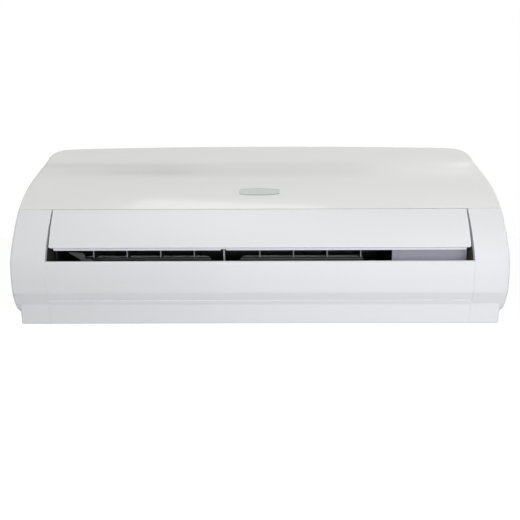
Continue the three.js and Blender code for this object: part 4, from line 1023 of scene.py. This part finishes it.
def circuit_board():
    """Coated board in dark green, with paler tracks under the coating."""
    tree, given, out = surface_group("circuit_board", Colour=(0.02, 0.10, 0.04, 1),
                                     Track=(0.05, 0.2, 0.08, 1), Roughness=0.35)
    place = add(tree, "TexCoord").outputs["Object"]
    upright = add(tree, "Mapping", {"Vector": place, "Rotation": (math.pi / 2, 0, 0)}).outputs[0]
    cells = add(tree, "TexBrick", {"Vector": upright, "Scale": 130.0, "Mortar Size": 0.06,
                                   "Color1": given["Colour"], "Color2": given["Colour"],
                                   "Mortar": given["Track"]}, offset=0.3)
    blur = add(tree, "TexNoise", {"Vector": place, "Scale": 300.0}).outputs[0]
    rough = add(tree, "Math", {0: blur, 1: 0.3, 2: given["Roughness"]}, operation="MULTIPLY_ADD").outputs[0]
    bump = add(tree, "Bump", {"Strength": 0.3, "Distance": 0.0001, "Height": cells.outputs["Fac"]}).outputs[0]
    tree.links.new(cells.outputs["Color"], out["Colour"])
    tree.links.new(rough, out["Roughness"])
    tree.links.new(bump, out["Normal"])
    return tree


board_green = finish("board_green", circuit_board())
capacitor_black = finish("capacitor_black", PLASTIC, coat=0.4, Colour=(0.018, 0.018, 0.02, 1), Shade=0.2,
                         Grain=500.0, Relief=0.05, Roughness=0.28, Spread=0.1)
terminal_cream = finish("terminal_cream", PLASTIC, Colour=(0.66, 0.62, 0.50, 1), Shade=0.08, Grain=800.0,
                        Relief=0.15, Roughness=0.45, Spread=0.1)
button_grey = finish("button_grey", PLASTIC, Colour=(0.45, 0.45, 0.48, 1), Shade=0.05, Grain=1000.0,
                     Relief=0.1, Roughness=0.35, Spread=0.08)


def box_cover():
    """The cover over the box's front, with a raised rim and the guide ring round the button."""
    low_x, high_x, z = EBOX["left"], EBOX["right"], BUTTON["z"]
    hole = ring(BUTTON["x"], z, 4.4)
    plate = pressed("y", [rounded(low_x, high_x, -60, 57.6, 2), hole], -152, EBOX["front"] - 0.4, 0.3)
    rim = pressed("y", [rounded(low_x, high_x, -60, 57.6, 2), rounded(low_x + 2, high_x - 2, -58, 55.6, 1.5)],
                  -152.6, -151.8, 0.25)
    collar = turned("y", BUTTON["x"], z, [(4.4, -152.6), (5.8, -152.6), (6.2, -151.8), (4.4, -151.8)], 36)
    return joined(plate, rim, collar)


def run_button():
    x, z = BUTTON["x"], BUTTON["z"]
    return turned("y", x, z, [(0, -157.1), (2.6, -157.2), (3.4, -157.5), (3.9, -157), (3.9, -149.4),
                              (5.4, -149.2), (5.4, -148), (0, -148)], 40)


def capacitor():
    return turned("z", CAPACITOR["x"], CAPACITOR["y"],
                  [(0, 0), (11.4, 0), (12, 0.6), (12, 39), (11.3, 39.8), (11.3, 40.6), (12, 41.4),
                   (12, 43.2), (11.2, 44), (9, 44), (8.6, 43.6), (0, 43.6)], 56)


settle(merged_copy("electrical_box", 0.5), "electrical_box_folded", "casing", "zinc_steel", zinc_sheet,
       "electrical_box")
settle(box_cover(), "electrical_cover_moulded", "casing", "chassis_white", chassis_white,
       "electrical_box_cover")
settle(run_button(), "run_button_cap", "run_button", "grey_plastic", button_grey, "manual_run_button")
settle(capacitor(), "capacitor_can", "casing", "black_plastic", capacitor_black, "capacitor")
for node, edge, slot, look in (("control_board", 0.2, "board_green", board_green),
                               ("receiver_board", 0.2, "board_green", board_green),
                               ("transformer", 0.6, "zinc_steel", zinc_sheet),
                               ("terminal_block", 0.3, "cream_plastic", terminal_cream)):
    settle(merged_copy(node, edge), f"{node}_made", "casing", slot, look, node)


# ---------------------------------------------------------------- air filters
# Two washable filters: a dark net of fine threads moulded into a frame with three ribs. They slide in
# over the coil from the front and bend to follow the casing.
NET = {"thread": 0.36, "pitch": 2.6, "outer": 9.9}
FILTER_SPANS = {"left": (-330, -5), "right": (5, 330)}

filter_frame = finish("filter_frame", PLASTIC, Colour=(0.055, 0.06, 0.068, 1), Shade=0.2, Grain=900.0,
                      Relief=0.2, Roughness=0.5, Spread=0.15)


def filter_route(level, depth):
    return [(-14, level + 1.2), (-40, level + 0.5), (-64, level), *front_line(114, 52, 24, depth)]


def air_filter(low, high):
    strip = filter_route(118, 8.6) + filter_route(116, 10.6)[::-1]
    ribs = [prism("x", strip, x - 2, x + 2, 0.4)
            for x in (low + 2, low + 56, (low + high) / 2, high - 56, high - 2)]
    path = filter_route(116.7, NET["outer"])
    half = NET["thread"] / 2
    thread = prism("x", wall_along(path, -NET["thread"]), -half, half, 0)
    count = int((high - low) / NET["pitch"])
    down = stamped(thread, along_x(*[low + (i + 0.5) * (high - low) / count for i in range(count)]))
    across = []
    for before, after in zip(path, path[1:]):
        start, end = Vector(before), Vector(after)
        steps = max(1, round((end - start).length / NET["pitch"]))
        for i in range(steps):
            y, z = start + (end - start) * i / steps
            across.append(prism("x", rectangle(y - half, y + half, z - half, z + half), low + 2, high - 2, 0))
    edges = [prism("x", rectangle(y - 2.2, y + 2.2, z - 0.9, z + 0.9), low + 1, high - 1, 0.4)
             for y, z in (path[0], (path[-1][0] - 0.6, path[-1][1] + 2.4))]
    return joined(*ribs, down, *across, *edges)


for name, span in FILTER_SPANS.items():
    settle(air_filter(*span), f"air_filter_{name}_net", "casing", "filter_grey", filter_frame,
           f"air_filter_{name}")


# ---------------------------------------------------------------- front panel
# The high-gloss white panel, one sweep from the crowned top lip to the seam over the louver. Its ends
# round back into returns, ribs stiffen its inside, and it swings up on two pins.
PANEL = {"wall": 2.6, "crown": 4.5, "corner": 26, "lip_fade": 70, "slope": 0.543}

gloss_white = finish("gloss_white", PLASTIC, coat=0.7, coat_roughness=0.08, Colour=(0.81, 0.812, 0.80, 1),
                     Shade=0.015, Grain=160.0, Relief=0.02, Roughness=0.22, Spread=0.05)


def panel_shell():
    fillet = arc(HALF_WIDTH - EDGE_ROUND, -EDGE_ROUND, EDGE_ROUND, 90, 0, 8)
    flat = [x for x in range(0, 331, 33)] + [CHEEK_HALF, 346, 346.4, 352, 364, 380]
    right = [(x, 0) for x in flat] + fillet + [(HALF_WIDTH, -11), (HALF_WIDTH, -FLANGE)]
    section = [(-x, depth) for x, depth in right[:0:-1]] + right
    run = front_run(FRONT_POINTS[0][1], SEAM_Z, 64)
    fallen = [0]
    for (before, _), (after, _) in zip(run, run[1:]):
        fallen.append(fallen[-1] + (after - before).length)

    def place(column, row):
        x, depth = section[column]
        at, out = run[row]
        to_centre = max(0, PANEL["corner"] - fallen[row])
        drawn_in = PANEL["corner"] - math.sqrt(PANEL["corner"] ** 2 - to_centre ** 2)
        lift = PANEL["crown"] * max(0, 1 - fallen[row] / PANEL["lip_fade"]) ** 2 * (1 - (x / HALF_WIDTH) ** 2)
        past = max(0, abs(x) - CHEEK_HALF) / (HALF_WIDTH - EDGE_ROUND - CHEEK_HALF)
        in_by = math.copysign(drawn_in * min(1, past), x)
        return Vector((x - in_by, at.x + out.x * depth, at.y + out.y * depth + lift))

    body = thickened(laid(len(section) - 1, 64, place), PANEL["wall"], (0, -1, 1))
    edge_y = run[-1][0].x
    for vert in body.verts:
        if abs(vert.co.x) < CHEEK_HALF + WALL + 2 and edge_y - 0.01 < vert.co.y < edge_y + 6:
            vert.co.z = max(vert.co.z, SEAM_Z + PANEL["slope"] * (vert.co.y - edge_y))
    return soften(body, 0.3, 3, over=50)


def panel_inside():
    """Ribs on the inside, the hinge ears and their pins."""
    y, z = PANEL_HINGE["y"], PANEL_HINGE["z"]
    upright = front_line(120, 56, 20, 2.3) + front_line(116, 60, 20, 6)[::-1]
    ribs = [prism("x", upright, x - 0.7, x + 0.7, 0.25) for x in (-270, -210, -110, -56, 56, 110, 210, 270)]
    beam = front_line(53, 51.4, 1, 2.3) + front_line(53, 51.4, 1, 5)[::-1]
    ribs += [prism("x", beam, low, high, 0.25) for low, high in ((-329, -6), (6, 329))]
    ear = [(-54, 144.2), (-66, 134.6), (-61, 129), (-47, 129.5), (-40.5, 132), (-40, 138), (-47, 141)]
    for side in (-1, 1):
        middle, tip = side * PANEL_HINGE["ear"], side * (PANEL_HINGE["ear"] + 8)
        ribs.append(prism("x", ear, middle - 1.5, middle + 1.5, 0.4))
        ribs.append(turned("x", y, z, [(0, middle), (2.6, middle), (2.6, tip - side * 0.6), (2.1, tip),
                                       (0, tip)], 28))
    return ribs


settle(joined(panel_shell(), *panel_inside()), "front_panel_moulding", "panel", "gloss_white", gloss_white,
       "front_panel")


# ---------------------------------------------------------------- badge
# A blank plaque stuck to the middle of the front panel: long and low, with cut ends, a raised border
# and a satin film on its field.
BADGE = {"half_long": 34, "half_tall": 7.6, "stretch": 1.3, "lift": 0.3, "field": 0.85, "high": 1.2,
         "border": 1.1}

badge_film = finish("badge_film", METAL, metallic=0.55, coat=0.3, Colour=(0.50, 0.52, 0.53, 1),
                    Stain_colour=(0.42, 0.43, 0.45, 1), Stain=0.2, Streaks=(30.0, 900.0, 900.0), Patch=20.0,
                    Patch_depth=0.02, Roughness=0.38, Spread=0.12, Relief=0.06)


def badge_outline(inset):
    long, tall = BADGE["half_long"] - inset, BADGE["half_tall"] - inset
    return [(min(max(a * BADGE["stretch"], -long), long), b * tall / BADGE["half_long"])
            for a, b in ring(0, 0, BADGE["half_long"], 72)
            if abs(a * BADGE["stretch"]) < long * 1.14]


def badge():
    field = prism("z", badge_outline(0), 0, BADGE["field"], 0.2)
    border = pressed("z", [badge_outline(0), badge_outline(BADGE["border"])], 0.3, BADGE["high"], 0.22)
    at, out = front_run(66, 65, 1)[0]
    outward = Vector((0, out.x, out.y))
    seat = Vector((0, at.x, at.y)) + outward * BADGE["lift"]
    along = Vector((1, 0, 0))
    turn = Matrix((along, outward.cross(along), outward)).transposed().to_4x4()
    whole = joined(field, border)
    bmesh.ops.transform(whole, matrix=Matrix.Translation(seat) @ turn, verts=whole.verts)
    return whole


settle(badge(), "badge_plaque", "panel", "badge_grey", badge_film, "badge_plate")


# ---------------------------------------------------------------- studio
# A wide soft lamp in front on the right, one above on the left and one behind, over a pale floor. What is
# behind the unit shows as plain white, and the gloss shows a pale room that is darker near the wall.
CAMERA = {"place": (0.0032, -0.8815, 0.0751), "tilt": 80.0, "turn": 0.21, "roll": -0.19, "focal_px": 416.9,
          "image_px": 520, "sensor": 36}
FLOOR = {"z": -0.75, "half": 6}
LAMPS = {
    "key": ((0.48, -1.43, 0.06), 1.6, 12.2, (0.955, 0.98, 1.0)),
    "top": ((-0.30, -1.10, 1.70), 1.2, 7.5, (1.0, 0.99, 0.955)),
    "rear": ((0.80, 1.60, 1.20), 1.6, 9, (1.0, 1.0, 1.0)),
}


def room():
    """The world: even pale light, and for gloss a ceiling that darkens towards the wall."""
    world = bpy.data.worlds.new("room")
    bpy.context.scene.world = world
    world.use_nodes = True
    tree = world.node_tree
    tree.nodes.clear()
    way = add(tree, "SeparateXYZ", {0: add(tree, "TexCoord").outputs["Generated"]}).outputs
    up = add(tree, "MapRange", {"Value": way["Z"], "From Min": -1.0, "From Max": 1.0, "To Min": 0.42,
                                "To Max": 0.35}).outputs[0]
    soft = add(tree, "Background", {"Color": (1.0, 1.0, 1.0, 1), "Strength": up}).outputs[0]
    wall = add(tree, "MapRange", {"Value": way["Y"], "From Min": 0.43, "From Max": 0.485},
               interpolation_type="SMOOTHSTEP").outputs[0]
    left = add(tree, "MapRange", {"Value": way["X"], "From Min": -0.22, "From Max": -0.12, "To Min": 1.2,
                                  "To Max": 0.6}, interpolation_type="SMOOTHSTEP").outputs[0]
    right = add(tree, "MapRange", {"Value": way["X"], "From Min": 0.20, "From Max": 0.30, "To Min": 1.0,
                                   "To Max": 0.1}, interpolation_type="SMOOTHSTEP").outputs[0]
    dark = add(tree, "Math", {0: left, 1: right}, operation="MULTIPLY").outputs[0]
    shaded = add(tree, "Math", {0: dark, 1: wall}, operation="MULTIPLY").outputs[0]
    near_wall = add(tree, "Math", {0: 1.25, 1: shaded}, operation="SUBTRACT").outputs[0]
    above = add(tree, "MapRange", {"Value": way["Z"], "From Min": 0.2, "From Max": 0.6},
                interpolation_type="SMOOTHSTEP").outputs[0]
    shown = add(tree, "Mix", {0: above, 2: 0.85, 3: near_wall}).outputs[0]
    mirrored = add(tree, "Background", {"Color": (1.0, 0.985, 0.94, 1), "Strength": shown}).outputs[0]
    path = add(tree, "LightPath").outputs
    lit = add(tree, "MixShader", {0: path["Is Glossy Ray"], 1: soft, 2: mirrored}).outputs[0]
    white = add(tree, "Background", {"Color": (1, 1, 1, 1), "Strength": 1.0}).outputs[0]
    seen = add(tree, "Math", {0: path["Is Camera Ray"], 1: path["Is Transmission Ray"]},
               operation="MAXIMUM").outputs[0]
    whole = add(tree, "MixShader", {0: seen, 1: lit, 2: white}).outputs[0]
    tree.links.new(whole, add(tree, "OutputWorld").inputs["Surface"])


def pale_floor():
    """A wide white floor that keeps the unit's soft shadow."""
    body = bmesh.new()
    bmesh.ops.create_grid(body, x_segments=2, y_segments=2, size=FLOOR["half"])
    bmesh.ops.translate(body, vec=(0, 0, FLOOR["z"]), verts=body.verts)
    mesh = bpy.data.meshes.new("floor")
    body.to_mesh(mesh)
    body.free()
    floor = bpy.data.objects.new("floor", mesh)
    bpy.context.scene.collection.objects.link(floor)
    look = bpy.data.materials.new("floor_white")
    look.use_nodes = True
    tree = look.node_tree
    shader = tree.nodes["Principled BSDF"]
    place = add(tree, "TexCoord").outputs["Object"]
    mottle = add(tree, "TexNoise", {"Vector": place, "Scale": 3.0}).outputs[0]
    shade = add(tree, "MapRange", {"Value": mottle, "To Min": 0.50, "To Max": 0.52}).outputs[0]
    tree.links.new(add(tree, "CombineColor", {0: shade, 1: shade, 2: shade}).outputs[0],
                   shader.inputs["Base Color"])
    shader.inputs["Roughness"].default_value = 0.9
    glow = add(tree, "Math", {0: add(tree, "LightPath").outputs["Is Camera Ray"], 1: 0.75},
               operation="MULTIPLY")
    tree.links.new(glow.outputs[0], shader.inputs["Emission Strength"])
    shader.inputs["Emission Color"].default_value = (1, 1, 1, 1)
    mesh.materials.append(look)


def lamps():
    for name, (place, size, power, colour) in LAMPS.items():
        light = bpy.data.lights.new(name, "AREA")
        light.size, light.energy, light.color = size, power, colour
        lamp = bpy.data.objects.new(name, light)
        lamp.location = place
        lamp.rotation_euler = (Vector((0, -0.1, 0)) - Vector(place)).to_track_quat("-Z", "Y").to_euler()
        bpy.context.scene.collection.objects.link(lamp)


def camera():
    seen = bpy.data.cameras.new("camera")
    seen.sensor_width = CAMERA["sensor"]
    seen.lens = CAMERA["sensor"] * CAMERA["focal_px"] / CAMERA["image_px"]
    holder = bpy.data.objects.new("camera", seen)
    holder.location = CAMERA["place"]
    turn, tilt, roll = [Matrix.Rotation(math.radians(CAMERA[way]), 4, axis)
                        for way, axis in (("turn", "Z"), ("tilt", "X"), ("roll", "Z"))]
    holder.rotation_euler = (turn @ tilt @ roll).to_euler()
    bpy.context.scene.collection.objects.link(holder)
    bpy.context.scene.camera = holder


room()
pale_floor()
lamps()
camera()
bpy.context.scene.view_settings.view_transform = "Standard"
